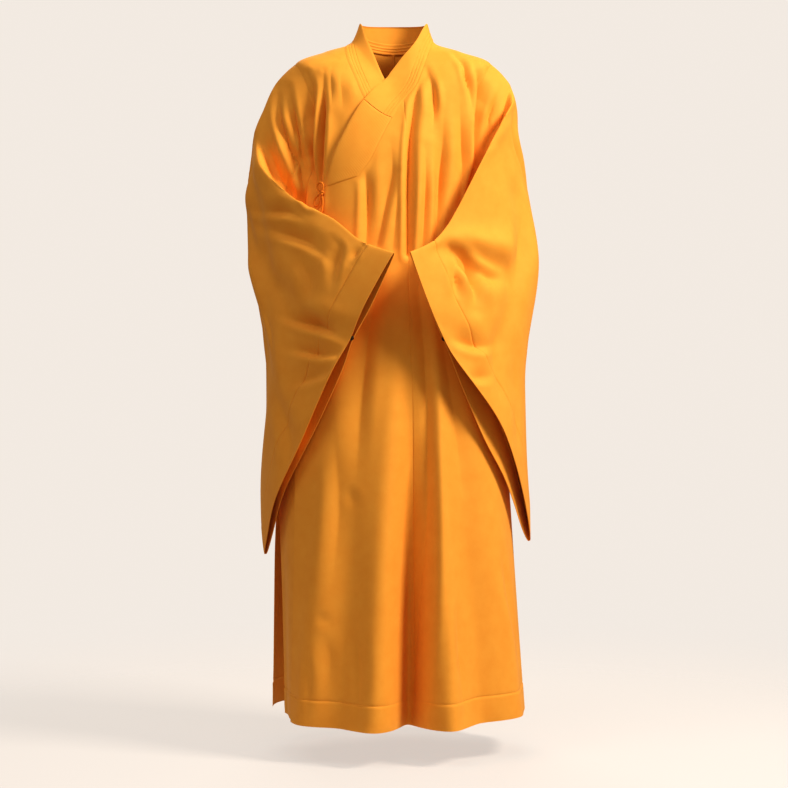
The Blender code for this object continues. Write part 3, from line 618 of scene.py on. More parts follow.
SLIT_EDGE = spots_of((-71.0, 0.0), (-75.0, 1.0), (-89.0, 2.0), (-90.0, 3.0), (-90.0, 3.45))
UNDER_EDGE = spots_of((-12.0, 0.0), (-10.0, 1.0), (-6.0, 2.0), (2.0, 3.0), (5.0, 3.6),
                      INNER_SEWN[0])
BACK_SEAM = spots_of((180.0, 8.0), (180.0, 7.0), (180.0, 5.4), (180.0, 3.7), (180.0, 3.0),
                     (180.0, 2.0), (180.0, 1.0), (180.0, 0.0))


def along_line(line: Array, place: Array) -> Array:
    """Return spots along a smooth curve that runs straight on at its ends."""
    before, after = 2.0 * line[0] - line[1], 2.0 * line[-1] - line[-2]
    return through_rows(np.vstack([before, line, after]), np.asarray(place, float) + 1.0)


def centre_places(levels: Sequence[float]) -> list[float]:
    """Return the centre seam's places, in its spot numbers, at levels."""
    places = np.linspace(0.0, len(CENTRE_SEAM) - 1.0, 400)
    return list(np.interp(levels, along_line(CENTRE_SEAM, places)[:, 1], places))


class Edge:
    """An edge of a panel: stretches of seam lines, joined straight where they don't meet."""

    def __init__(self, *stretches: tuple[Array, Sequence[float]]) -> None:
        """Keep the spans between stations.

        Args:
            stretches: Each a line of spots, and its places in spot numbers.
        """
        self.spans: list[tuple[Array, float, float]] = []
        last = None
        for line, places in stretches:
            spots = along_line(line, list(places))
            if last is not None and np.linalg.norm(last - spots[0]) > NO_GAP:
                self.spans.append((np.array([last, spots[0]]), 0.0, 1.0))
            self.spans += [(line, begin, end) for begin, end in zip(places, places[1:])]
            last = spots[-1]

    def at(self, station: Array) -> Array:
        """Return spots of the edge.

        Args:
            station: Stations along the edge, in spans from its start.

        Returns:
            The spots, an angle and a level a row.
        """
        spots = np.zeros((len(station), 2))
        span = np.clip(station.astype(int), 0, len(self.spans) - 1)
        for number, (line, begin, end) in enumerate(self.spans):
            inside = span == number
            spots[inside] = along_line(line, blend(begin, end, station[inside] - number))
        return spots


# ---------------------------------------------------------------- cloth sheets

def overlap_lift(angle: Array) -> Array:
    """Return how far the front overlap stands off the panel below it."""
    turn = (OVERLAP_FLAT_ANGLE - angle) / (OVERLAP_FLAT_ANGLE - OVERLAP_FULL_ANGLE)
    return LAYER_STEP * ease(turn)


def no_lift(angle: Array) -> Array:
    """Return the lift of what lies on the body form itself."""
    return np.zeros_like(angle)


def cumulative(points: Array, axis: int) -> Array:
    """Return the lengths run along a grid of points.

    Args:
        points: The grid, as (rows, columns, 3).
        axis: 0 to run down each column, 1 to run along each row.

    Returns:
        The length at each point of the grid.
    """
    steps = np.linalg.norm(np.diff(points, axis=axis), axis=-1)
    pads = [(1, 0) if side == axis else (0, 0) for side in range(2)]
    return np.cumsum(np.pad(steps, pads), axis=axis)


def grid_normals(points: Array) -> Array:
    """Return a grid's own normals: along its columns crossed with along its rows."""
    return unit(np.cross(np.gradient(points, axis=1), np.gradient(points, axis=0)))


def lay_sheet(name: str, points: Array, wall: float, material: bpy.types.Material,
              wrapped: bool = False) -> bpy.types.Object:
    """Lay a grid of cloth on points and give it its thickness.

    Args:
        name: The piece's name.
        points: The places of the cloth's hollow side, as (rows, columns, 3).
        wall: The cloth's thickness.
        material: The cloth's finish.
        wrapped: True where the last column meets the first.

    Returns:
        The finished piece.
    """
    rows, columns = points.shape[:2]
    bpy.ops.object.select_all(action="DESELECT")
    bpy.ops.mesh.primitive_grid_add(x_subdivisions=columns - 1, y_subdivisions=rows - 1,
                                    size=2.0)
    sheet = bpy.context.object
    sheet.name = sheet.data.name = name
    mesh = sheet.data
    flat = np.empty(len(mesh.vertices) * 3)
    mesh.vertices.foreach_get("co", flat)
    spread = (flat.reshape(-1, 3) + 1.0) / 2.0
    column = np.rint(spread[:, 0] * (columns - 1)).astype(int)
    row = np.rint(spread[:, 1] * (rows - 1)).astype(int)
    mesh.vertices.foreach_set("co", points[row, column].ravel())
    thread = np.stack([cumulative(points, 1), cumulative(points, 0)], axis=-1)
    corners = np.empty(len(mesh.loops), dtype=int)
    mesh.loops.foreach_get("vertex_index", corners)
    mesh.uv_layers[0].data.foreach_set("uv", thread[row, column][corners].ravel())
    mesh.uv_layers[0].name = "Thread"
    if wrapped:
        bpy.ops.object.mode_set(mode="EDIT")
        bpy.ops.mesh.select_all(action="SELECT")
        bpy.ops.mesh.remove_doubles(threshold=MERGE_GAP)
        bpy.ops.object.mode_set(mode="OBJECT")
    mesh.materials.append(material)
    thickness = sheet.modifiers.new("Cloth", "SOLIDIFY")
    thickness.thickness, thickness.offset = wall, 1.0
    bpy.ops.object.modifier_apply(modifier=thickness.name)
    bpy.ops.object.shade_smooth_by_angle(angle=SMOOTH_ANGLE)
    return sheet


@dataclass
class BodyCreases:
    """The small creases of the body's cloth, which the sleeves' sewn edges follow too.

    The armholes' seams lie in troughs of their own: shallow at the armpit, deepest halfway up
    and gone at the shoulder.
    """

    seam_width: float = 0.0110
    armpit_depth: float = 0.004
    front_depth: float = 0.006
    back_depth: float = 0.005
    creases: list[tuple[Array, Crease]] = field(init=False)
    seams: list[tuple[Array, Crease]] = field(init=False)

    def __post_init__(self) -> None:
        """Lay the creases, and those that the armholes' seams lie in, on the form."""
        self.creases = BODY.lay_creases(FRONT_CREASES)
        self.creases += [(BODY.lay_line(np.array(crease.line, dtype=float)), crease)
                         for crease in BACK_CREASES]
        self.seams = []
        for armhole, depth in ((ARMHOLE_FRONT, self.front_depth),
                               (ARMHOLE_BACK, self.back_depth)):
            sunk = Crease((), self.seam_width, self.armpit_depth, depth, 0.0)
            for spots in (armhole, mirrored(armhole)):
                self.seams.append((BODY.lay_line(spots), sunk))

    def relief(self, plain: Array, shown: Array | float = 1.0) -> Array:
        """Return how far creases move points of the plain form."""
        return crease_relief(plain, self.creases) * shown + crease_relief(plain, self.seams)


@dataclass
class Panel:
    """A panel of the body: a grid of cloth between two edges."""

    name: str
    nodes: tuple[str, ...]
    near: Edge
    far: Edge
    rows: int
    columns: int
    lift: Callable[[Array], Array]
    # Its cloth laid flat, as a width and a length, and its area.
    flat: tuple[float, float]
    area: float
    finish: Callable[["Panel", Array], Array]
    # Columns are crowded towards the near edge above zero, and towards the far one below it.
    crowding: float = 1.0
    extra_columns: tuple[float, ...] = ()
    wall: float = CLOTH_WALL
    seam_gap: float = SEAM_GAP
    end_trim: float = 0.0
    front_hem: bool = False
    back_hem: bool = False
    # Its creases fade beside the collar's seam, but not under the overlap from this angle on.
    creased: bool = True
    collar_seam: Array = field(default_factory=lambda: OUTER_SEWN)
    buried_from: float = math.inf
    # The edges with a sewn line, and those that run on under their neighbour to a station.
    sewn_near: bool = False
    sewn_far: bool = False
    tuck_near: bool = False
    tuck_far: bool = False
    tucked_to: float = math.inf

    def shown(self, angle: Array, plain: Array) -> Array:
        """Return the share of the front's creases that points take.

        Cloth is calm beside a collar seam. Where it is buried under the front overlap it
        follows every crease, so that the layers stay nested.

        Args:
            angle: The points' angles in degrees.
            plain: The points on the plain form.

        Returns:
            One share a point.
        """
        calm = np.zeros(len(plain))
        if self.creased:
            gap, *_ = distance_to_line(plain, BODY.lay_line(self.collar_seam))
            calm = ease(gap / CALM_REACH)
        return blend(calm, 1.0, ease((angle - self.buried_from) / BURIED_TURN))

    def stations(self) -> Array:
        """Return the rows' stations, closer on the chest and at the hem's stitching.

        Returns:
            The stations in order along the panel's edges.
        """
        last = float(len(self.near.spans))
        trial = np.linspace(self.end_trim, last - self.end_trim, TRIAL_ROWS)
        middle = (self.near.at(trial) + self.far.at(trial)) / 2.0
        steps = np.linalg.norm(np.diff(BODY.plain(*middle.T), axis=0), axis=1)
        run = np.concatenate([[0.0], np.cumsum(steps)])
        angle, level = middle[1:].T
        closer = np.where(np.cos(np.radians(angle)) > 0.0, FRONT_ROWS, BACK_ROWS)
        steps = steps * blend(1.0, closer, ease(level - ROW_LEVEL))
        closer_run = np.concatenate([[0.0], np.cumsum(steps)])
        rows = [np.interp(np.linspace(0.0, closer_run[-1], self.rows + 1), closer_run, trial)]
        if self.front_hem:
            rows.append(np.interp(HEM_DEPTH + HEM_STEPS, run, trial))
        if self.back_hem:
            rows.append(np.interp(run[-1] - HEM_DEPTH + HEM_STEPS, run, trial))
        return np.unique(np.concatenate(rows))

    def across(self) -> Array:
        """Return the places of the columns, crowded towards one edge.

        Returns:
            Shares of the way from the near edge to the far one.
        """
        even = np.linspace(0.0, 1.0, self.columns + 1)
        if self.crowding > 0.0:
            even = even ** self.crowding
        else:
            even = 1.0 - (1.0 - even) ** -self.crowding
        return np.unique(np.concatenate([even, self.extra_columns]))

    def points(self, creases: BodyCreases) -> Array:
        """Return the cloth's points, with its lift, folds, creases and stitching.

        Args:
            creases: The body's creases.

        Returns:
            The grid, as (rows, columns, 3).
        """
        stations = self.stations()
        near, far = self.near.at(stations), self.far.at(stations)
        width = np.linalg.norm(BODY.plain(*far.T) - BODY.plain(*near.T), axis=1)
        trim = (self.seam_gap / np.maximum(width, NARROWEST_PANEL))[:, None]
        share = blend(trim, 1.0 - trim, self.across()[None, :])
        tucks = ease((self.tucked_to - stations) / TUCK_FADE)[:, None]
        reach = TUCK * blend(np.array(UNTUCKED_SHARES), np.array(TUCK_SHARES), tucks)
        tucked = reach / np.maximum(width, NARROWEST_PANEL)[:, None]
        drop = np.zeros(share.shape)
        under = TUCK_DROP * tucks * np.ones(2)
        if self.tuck_near:
            share = np.hstack([-tucked[:, ::-1], share])
            drop = np.hstack([under, drop])
        if self.tuck_far:
            share = np.hstack([share, 1.0 + tucked])
            drop = np.hstack([drop, under])
        angle = blend(near[:, :1], far[:, :1], share)
        level = blend(near[:, 1:], far[:, 1:], share)
        shape = angle.shape
        angle, level = angle.ravel(), level.ravel()
        lift = self.lift(angle)
        plain = BODY.plain(angle, level)
        lift = lift + creases.relief(plain, self.shown(angle, plain))
        grid = BODY.point(angle, level, lift).reshape(*shape, 3)
        relief = self.finish(self, grid) - drop
        run = cumulative(grid, 1)
        if self.sewn_near:
            relief = relief + SEAM.relief(run)
        if self.sewn_far:
            relief = relief + SEAM.relief(run[:, -1:] - run)
        normal = BODY.normal(angle, level).reshape(*shape, 3)
        return grid + normal * relief[..., None]


def hem_relief(panel: Panel, grid: Array) -> Array:
    """Return the relief of a turned-up hem: double cloth below a line of stitching.

    Args:
        panel: The panel, which says at which ends it has a hem.
        grid: The panel's points.

    Returns:
        One height for each point of the grid.
    """
    relief = np.zeros(grid.shape[:2])
    run = cumulative(grid, 0)
    hems = [run] if panel.front_hem else []
    hems += [run[-1:] - run] if panel.back_hem else []
    for from_hem in hems:
        gap = from_hem - HEM_DEPTH
        relief = relief + HEM_THICKENING * ease(0.5 - gap / HEM_EDGE) + HEM_LINE.relief(gap)
    return relief


def collar_relief(_: Panel, grid: Array) -> Array:
    """Return the relief of the collar's stitched lines, counted from its sewn edge.

    Args:
        _: The band, whose points say enough.
        grid: The band's points.

    Returns:
        One height for each point of the grid.
    """
    run = cumulative(grid, 1)
    from_sewn = run[:, -1:] - run
    relief = COLLAR_SEWN_EDGE.relief(from_sewn) + COLLAR_FOLDED_EDGE.relief(run)
    for line in COLLAR_LINES:
        relief += COLLAR_LINE.relief(from_sewn - line)
    return relief


def quilting_relief(_: Panel, grid: Array) -> Array:
    """Return the relief of the collar's end: close rows of quilting inside an edge.

    Args:
        _: The end, whose points say enough.
        grid: The end's points.

    Returns:
        One height for each point of the grid.
    """
    across, along = cumulative(grid, 1), cumulative(grid, 0)
    rows = np.cos(2.0 * np.pi * across / QUILTING_ROW)
    stitches = np.cos(2.0 * np.pi * along / QUILTING_STITCH)
    edge = np.minimum(np.minimum(across, across[:, -1:] - across),
                      np.minimum(along, along[-1:, :] - along))
    quilted = QUILTING_PUFF * rows * stitches * ease(edge / QUILTING_MARGIN)
    return quilted + QUILTING_EDGE.relief(edge)


# ---------------------------------------------------------------- the sleeve's form

class Loop(NamedTuple):
    """A loop round the arm: the top, the layer seen from the front, the bottom, the inner."""

    top: tuple[float, float, float]
    outer: tuple[float, float, float]
    outer_low: tuple[float, float, float]
    bottom: tuple[float, float, float]
    inner_low: tuple[float, float, float]
    inner: tuple[float, float, float]


RIGHT_LOOPS = [
    Loop((-.246, .000, -.070), (-.252, .080, -.190), (-.236, .085, -.400),
         (-.212, .038, -.458), (-.214, -.030, -.402), (-.220, -.060, -.200)),
    Loop((-.270, .000, -.120), (-.278, .085, -.240), (-.259, .098, -.475),
         (-.230, .052, -.535), (-.224, -.024, -.460), (-.236, -.058, -.245)),
    Loop((-.290, -.005, -.180), (-.300, .080, -.300), (-.275, .100, -.500),
         (-.250, .072, -.625), (-.231, -.022, -.525), (-.242, -.056, -.290)),
    Loop((-.282, -.062, -.240), (-.315, .040, -.340), (-.283, .085, -.560),
         (-.260, .083, -.700), (-.236, -.026, -.580), (-.230, -.068, -.345)),
    Loop((-.237, -.106, -.296), (-.298, -.020, -.405), (-.270, .040, -.640),
         (-.270, .080, -.780), (-.240, -.030, -.640), (-.210, -.080, -.400)),
    Loop((-.187, -.132, -.337), (-.255, -.085, -.455), (-.264, -.010, -.700),
         (-.276, .065, -.850), (-.245, -.040, -.705), (-.180, -.108, -.440)),
    Loop((-.127, -.170, -.368), (-.200, -.145, -.505), (-.262, -.050, -.770),
         (-.280, .040, -.920), (-.240, -.050, -.770), (-.145, -.150, -.485)),
    Loop((-.060, -.220, -.422), (-.140, -.205, -.560), (-.240, -.100, -.830),
         (-.276, .000, -.990), (-.222, -.100, -.820), (-.102, -.195, -.545)),
    Loop((.000, -.262, -.445), (-.089, -.250, -.606), (-.190, -.180, -.835),
         (-.257, -.045, -1.054), (-.172, -.165, -.830), (-.070, -.228, -.600)),
]
LEFT_LOOPS = [
    Loop((.242, -.005, -.075), (.250, .080, -.180), (.236, .085, -.400),
         (.211, .038, -.458), (.212, -.030, -.402), (.215, -.055, -.190)),
    Loop((.248, -.040, -.110), (.268, .080, -.225), (.256, .098, -.475),
         (.228, .052, -.535), (.221, -.026, -.460), (.218, -.060, -.235)),
    Loop((.228, -.085, -.155), (.286, .065, -.285), (.272, .095, -.490),
         (.247, .072, -.625), (.226, -.026, -.520), (.212, -.070, -.275)),
    Loop((.198, -.118, -.215), (.299, .035, -.345), (.285, .075, -.560),
         (.258, .083, -.700), (.230, -.032, -.560), (.197, -.092, -.318)),
    Loop((.168, -.145, -.275), (.298, -.010, -.405), (.284, .045, -.620),
         (.266, .080, -.770), (.232, -.040, -.610), (.178, -.110, -.360)),
    Loop((.131, -.174, -.347), (.270, -.070, -.460), (.276, .000, -.680),
         (.272, .065, -.840), (.235, -.050, -.670), (.160, -.135, -.415)),
    Loop((.110, -.192, -.383), (.225, -.130, -.500), (.268, -.045, -.740),
         (.277, .040, -.905), (.232, -.060, -.730), (.150, -.152, -.465)),
    Loop((.078, -.225, -.420), (.165, -.190, -.555), (.252, -.100, -.780),
         (.282, .005, -.970), (.215, -.110, -.790), (.125, -.185, -.540)),
    Loop((.032, -.262, -.444), (.099, -.250, -.615), (.222, -.165, -.800),
         (.281, -.030, -1.028), (.185, -.165, -.820), (.095, -.228, -.605)),
]


class LayerFold(NamedTuple):
    """A main fold of a sleeve's outer layer, in shares along and down the sleeve."""

    along_start: float
    down_start: float
    along_end: float
    down_end: float
    width: float
    depth: float


RIGHT_FOLDS = [
    LayerFold(0.44, 0.16, 0.62, 0.30, 0.030, -0.012),
    LayerFold(0.50, 0.34, 0.86, 0.40, 0.034, -0.014),
    LayerFold(0.56, 0.46, 0.92, 0.62, 0.030, 0.010),
    LayerFold(0.40, 0.40, 0.66, 0.80, 0.040, -0.012),
    LayerFold(0.22, 0.30, 0.34, 0.75, 0.036, -0.014),
]
LEFT_FOLDS = [
    LayerFold(0.88, 0.10, 0.74, 0.34, 0.026, -0.014),
    LayerFold(0.80, 0.10, 0.66, 0.32, 0.026, 0.010),
    LayerFold(0.52, 0.30, 0.84, 0.46, 0.034, -0.010),
    LayerFold(0.40, 0.40, 0.62, 0.78, 0.040, -0.012),
    LayerFold(0.22, 0.30, 0.34, 0.75, 0.036, -0.014),
]
RIGHT_CREASES = [
    Crease(((-.219, -.085), (-.208, -.149), (-.193, -.213), (-.174, -.285)),
           .0085, .003, .018, .012, -.25),
    Crease(((-.244, -.078), (-.240, -.140), (-.224, -.196), (-.201, -.252), (-.172, -.331)),
           .0090, .003, .019, .012, .20),
    Crease(((-.232, -.100), (-.226, -.160), (-.210, -.215)), .0070, .000, -.004, .000),
    Crease(((-.274, -.182), (-.258, -.223), (-.243, -.266), (-.200, -.317)),
           .0120, .001, .011, .004),
    Crease(((-.296, -.337), (-.257, -.347), (-.215, -.352), (-.178, -.372)),
           .0110, .003, .010, .001, .30),
    Crease(((-.285, -.372), (-.235, -.392), (-.175, -.416), (-.128, -.455)),
           .0130, .003, .011, .002, .35),
    Crease(((-.122, -.412), (-.107, -.432), (-.114, -.462), (-.126, -.520)),
           .0100, .001, .009, .001, -.30),
    Crease(((-.088, -.460), (-.076, -.441), (-.063, -.427)), .0065, .001, .006, .003),
    Crease(((-.205, -.430), (-.175, -.490), (-.172, -.560)), .0160, .000, .009, .000, .30),
    Crease(((-.238, -.560), (-.196, -.576), (-.141, -.593), (-.098, -.610)),
           .0130, .001, .017, .006, .45),
    Crease(((-.225, -.628), (-.190, -.636), (-.146, -.644), (-.100, -.640)),
           .0120, .001, .014, .004, .45),
    Crease(((-.215, -.705), (-.180, -.695), (-.146, -.682), (-.112, -.668)),
           .0130, .001, .011, .002, .40),
    Crease(((-.250, -.700), (-.218, -.800), (-.208, -.900)), .0160, .000, .010, .001, .30),
    Crease(((-.272, -.480), (-.262, -.600), (-.256, -.720)), .0200, .000, .009, .000, -.30),
]
LEFT_CREASES = [
    Crease(((.110, -.429), (.130, -.447), (.148, -.471), (.161, -.495), (.166, -.522),
            (.164, -.552)), .0105, .004, .026, .003, .10),
    Crease(((.150, -.462), (.176, -.475), (.200, -.486), (.226, -.492)),
           .0120, .004, .014, .001, -.40),
    Crease(((.114, -.440), (.121, -.468), (.126, -.502), (.127, -.540)),
           .0080, .002, .012, .001, -.20),
    Crease(((.096, -.598), (.130, -.617), (.172, -.628), (.212, -.618)),
           .0140, .004, .014, .001, .40),
    Crease(((.140, -.680), (.172, -.690), (.205, -.684)), .0130, .001, .008, .000, .35),
    Crease(((.236, -.728), (.252, -.776), (.253, -.850)), .0080, .000, .005, .000),
    Crease(((.222, -.088), (.205, -.128), (.193, -.168), (.186, -.208)),
           .0085, .001, .011, .003, .25),
    Crease(((.236, -.130), (.217, -.161), (.197, -.195), (.180, -.230)),
           .0080, .000, .008, .001),
    Crease(((.272, -.300), (.264, -.420), (.240, -.540)), .0200, .000, .010, .000, .30),
    Crease(((.215, -.560), (.205, -.640), (.225, -.760)), .0180, .000, .010, .000, .30),
    Crease(((.246, -.560), (.250, -.680), (.262, -.800)), .0160, .000, .007, .000, -.30),
]

# The creases of the outer layers seen from the sides and the back, with their lines in metres
# along the sleeve from the armhole, and up from its top fold.
RIGHT_SIDE_CREASES = [
    Crease(((.060, -.080), (.100, -.220), (.130, -.400), (.160, -.540)),
           .0170, .001, .011, .002, .20),
    Crease(((.130, -.050), (.190, -.170), (.220, -.330), (.240, -.500)),
           .0150, .001, .012, .002, -.30),
    Crease(((.240, -.060), (.290, -.150), (.310, -.270)), .0120, .002, .011, .001, .30),
    Crease(((.030, -.260), (.080, -.330), (.100, -.450)), .0120, .001, .009, .001, .20),
    Crease(((.260, -.220), (.340, -.310), (.380, -.430)), .0160, .001, .010, .001, .30),
    Crease(((.330, -.430), (.360, -.500), (.370, -.570)), .0140, .000, .007, .001),
]
LEFT_SIDE_CREASES = [
    Crease(((.050, -.060), (.090, -.180), (.110, -.320), (.130, -.470)),
           .0170, .001, .012, .002, .20),
    Crease(((.110, -.110), (.150, -.260), (.190, -.420), (.210, -.550)),
           .0160, .001, .011, .002, -.30),
    Crease(((.200, -.050), (.260, -.130), (.290, -.260)), .0130, .001, .010, .001, -.25),
    Crease(((.250, -.260), (.300, -.380), (.330, -.500)), .0150, .001, .011, .002, .30),
    Crease(((.030, -.340), (.060, -.420), (.080, -.520)), .0120, .001, .007, .000, .20),
    Crease(((.350, -.330), (.400, -.420), (.420, -.540)), .0160, .000, .009, .001, -.25),
]


BODY_CREASES = BodyCreases()


@dataclass
class BagSleeve:
    """A bag sleeve: one cloth folded over the arm, sewn below and faced at its cuff.

    A point of it is given by its layer, how far along it lies from the armhole to the cuff,
    and how far down from the top fold to the seam below, both as shares from 0 to 1.
    """

    name: str
    side: float
    loops: list[Loop]
    folds: list[LayerFold]
    creases: list[Crease]
    side_creases: list[Crease]
    flat: tuple[float, float]
    area: float
    # The sleeve laid flat, and how it stands off the body.
    length: float = 0.72
    depth: float = 0.60
    clearance: float = 0.016
    fullness: float = 0.010
    fullness_power: float = 0.7
    push_softness: float = 0.006
    push_at_top: float = 0.4
    push_below: float = 2.0
    # Its main folds stand outwards, and past the elbow to the front as well.
    fold_push: float = 0.7
    elbow: float = 0.2
    elbow_turn: float = 3.0
    fold_margin: float = 0.2
    # Its creases fade towards its seams, its cuff and its stud, and where it turns away.
    calm_share: float = 0.05
    calm_cuff: float = 0.010
    calm_stud: tuple[float, float] = (0.030, 0.022)
    turned_away: float = 0.05
    turn_blend: float = 0.45
    # The stud draws the two layers together.
    stud_down: float = 4.0 / 12.0
    stud_reach: float = 0.040
    stud_gap: float = 0.0066
    least_pull: float = 0.01
    # The grid's steps and rows, crowded towards the top fold.
    ring_steps: int = 312
    ring_crowding: float = 1.22
    top_crowding: float = 1.2
    rows: int = 118
    trial_rows: int = 121

    def layer_point(self, loop: Loop, layer: str, share: Array) -> Array:
        """Return points of one layer of a loop.

        Args:
            loop: The loop round the arm.
            layer: "outer" or "inner".
            share: Shares of the way from the loop's top to its bottom.

        Returns:
            The points, one a row.
        """
        order = ("inner", "top", "outer", "outer_low", "bottom", "inner_low")
        if layer == "inner":
            order = ("outer", "top", "inner", "inner_low", "bottom", "outer_low")
        points = np.array([getattr(loop, name) for name in order])
        spans = np.linalg.norm(np.diff(points, axis=0), axis=1)
        ends = np.cumsum(spans[1:4])
        distance = share ** self.top_crowding * ends[-1]
        span = 1 + np.minimum(np.searchsorted(ends, distance, side="left"), 2)
        begun = np.concatenate([[0.0], ends])[span - 1]
        part = ((distance - begun) / spans[span])[:, None]
        start, finish = points[span], points[span + 1]
        scale_in = (spans[span] / (spans[span - 1] + spans[span]))[:, None]
        scale_out = (spans[span] / (spans[span] + spans[span + 1]))[:, None]
        slope_in = (finish - points[span - 1]) * scale_in
        slope_out = (points[span + 2] - start) * scale_out
        return cubic(start, finish, slope_in, slope_out, part)

    def clear_of_body(self, point: Array, clearance: Array) -> Array:
        """Return points moved outwards where they are nearer to the body than allowed.

        Args:
            point: The points, one a row.
            clearance: The least distance of each from the body.

        Returns:
            The points, one a row.
        """
        angle = np.degrees(np.arctan2(point[:, 0], -point[:, 1]))
        low, high = np.zeros(len(point)), np.full(len(point), SHOULDER_LEVEL)
        for _ in range(HALVING_STEPS):
            middle = (low + high) / 2.0
            below = BODY.plain(angle, middle)[:, 2] < point[:, 2]
            low, high = np.where(below, middle, low), np.where(below, high, middle)
        outward = unit(point * np.array([1.0, 1.0, 0.0]))
        body = np.linalg.norm(BODY.draped(angle, low)[:, :2], axis=1)
        room = np.linalg.norm(point[:, :2], axis=1) - body - clearance
        push = (np.hypot(room, self.push_softness) - room) / 2.0
        return point + outward * push[:, None]

    def fold_relief(self, along: Array, down: Array) -> Array:
        """Return how far the main folds move the outer layer.

        Args:
            along: The points' shares along the sleeve.
            down: Their shares down it.

        Returns:
            One height a point.
        """
        relief = np.zeros(len(along))
        for fold in self.folds:
            run = np.array([(fold.along_end - fold.along_start) * self.length,
                            (fold.down_end - fold.down_start) * self.depth])
            reach = np.stack([(along - fold.along_start) * self.length,
                              (down - fold.down_start) * self.depth], axis=-1)
            share = np.clip(reach @ run / (run @ run), 0.0, 1.0)
            aside = np.linalg.norm(reach - share[:, None] * run, axis=1)
            relief += fold.depth * np.exp(-(aside / fold.width) ** 2)
        return relief * ease(down / self.fold_margin) * ease((1.0 - down) / self.fold_margin)

    def open_point(self, layer: str, along: Array, down: Array) -> Array:
        """Return a layer's points before its cuff is drawn together.

        Args:
            layer: "outer" or "inner".
            along: The points' shares along the sleeve.
            down: Their shares down it.

        Returns:
            The points, one a row.
        """
        edge = ARMHOLE_BACK if layer == "outer" else ARMHOLE_FRONT
        angle, level = along_line(edge, (1.0 - down) * (len(edge) - 1)).T
        spots = self.side * angle, level
        rows = [BODY.point(*spots, BODY_CREASES.relief(BODY.plain(*spots)) + SEAM_GAP)]
        rows += [self.layer_point(loop, layer, down) for loop in self.loops]
        place = along * len(self.loops)
        point = through_rows(np.array(rows), place)
        swell = -self.fullness
        if layer == "outer":
            swell = self.fullness
            forward = -ease((along - self.elbow) * self.elbow_turn)
            outward = np.stack([np.full(len(along), self.side), forward,
                                np.zeros(len(along))], axis=-1)
            point = point + outward * self.fold_push * self.fold_relief(along, down)[:, None]
        swell = swell * np.sin(np.pi * down) ** self.fullness_power
        clear = self.clear_of_body(point, self.clearance + self.fullness + swell)
        pushed = ease(place * (self.push_at_top + self.push_below * down))
        return blend(point, clear, pushed[:, None])

    def point(self, layer: str, along: Array, down: Array) -> Array:
        """Return a layer's points, drawn to the other layer round the cuff's stud.

        Args:
            layer: "outer" or "inner".
            along: The points' shares along the sleeve.
            down: Their shares down it.

        Returns:
            The points, one a row.
        """
        point = self.open_point(layer, along, down)
        other = self.open_point("inner" if layer == "outer" else "outer", along, down)
        far_along = (1.0 - along) * self.length / self.stud_reach
        far_down = (down - self.stud_down) * self.depth / self.stud_reach
        pull = np.exp(-far_along ** 2 - far_down ** 2)[:, None]
        middle = (point + other) / 2.0
        close = middle + unit(point - middle) * self.stud_gap / 2.0
        return blend(point, close, np.where(pull < self.least_pull, 0.0, pull))

    def ring_points(self, along: Array, ring: Array) -> Array:
        """Return points of the whole sleeve.

        Args:
            along: The points' shares along the sleeve.
            ring: Their shares round it: down its outer layer and up its inner one.

        Returns:
            The points, one a row.
        """
        down = 1.0 - np.abs(1.0 - 2.0 * ring)
        points = np.zeros((len(ring), 3))
        for layer, chosen in (("outer", ring <= 0.5), ("inner", ring > 0.5)):
            points[chosen] = self.point(layer, along[chosen], down[chosen])
        return points

    def columns(self) -> Array:
        """Return the columns' shares round the sleeve.

        Returns:
            The shares in order, turned round on the wearer's left so that faces point out.
        """
        down = 1.0 - np.abs(1.0 - 2.0 * np.linspace(0.0, 1.0, self.ring_steps + 1))
        down = down ** self.ring_crowding / 2.0
        half = self.ring_steps // 2
        ring = np.concatenate([down[:half + 1], 1.0 - down[half + 1:]])
        return 1.0 - ring if self.side > 0.0 else ring

    def grid(self) -> tuple[Array, Array, Array, Array]:
        """Return the sleeve's grid, with rows at even distances from the cuff's edge.

        Returns:
            The points, their shares along and round it, and their distances from the cuff.
        """
        ring = self.columns()
        trial = np.linspace(0.0, 1.0, self.trial_rows)
        along, around = np.meshgrid(trial, ring, indexing="ij")
        points = self.ring_points(along.ravel(), around.ravel()).reshape(*along.shape, 3)
        run = cumulative(points, 0)
        from_cuff = run[-1:] - run
        shares = np.linspace(0.0, 1.0, self.rows)[1:]
        fine, distance = [], []
        for column in range(len(ring)):
            rest = from_cuff[0, column] - CUFF_ROWS[-1]
            wanted = np.concatenate([CUFF_ROWS, CUFF_ROWS[-1] + shares * rest])
            places = np.interp(wanted, from_cuff[::-1, column], trial[::-1])
            fine.append(places[::-1])
            distance.append(wanted[::-1])
        along, distance = np.array(fine).T, np.array(distance).T
        around = np.broadcast_to(ring, along.shape)
        points = self.ring_points(along.ravel(), around.ravel()).reshape(*along.shape, 3)
        return points, along, around, distance

    def crease_heights(self, points: Array, normals: Array, along: Array, down: Array,
                       around: Array) -> Array:
        """Return the relief of the creases seen from the front, and of those on the sides.

        Args:
            points: The sleeve's grid.
            normals: The grid's own directions outwards.
            along: The points' shares along the sleeve.
            down: Their shares down it.
            around: Their shares round it.

        Returns:
            One height for each point of the grid.
        """
        seen = points[..., [0, 2]].reshape(-1, 2)
        front = crease_relief(seen, smooth_lines(self.creases)).reshape(along.shape)
        facing = ease((-normals[..., 1] - self.turned_away) / self.turn_blend)
        spread = np.stack([along * self.length, -down * self.depth], axis=-1).reshape(-1, 2)
        sides = crease_relief(spread, smooth_lines(self.side_creases)).reshape(along.shape)
        inside = ease(down / self.calm_share) * ease((1.0 - down) / self.calm_share)
        return front * facing + sides * np.where(around <= 0.5, inside, 0.0)

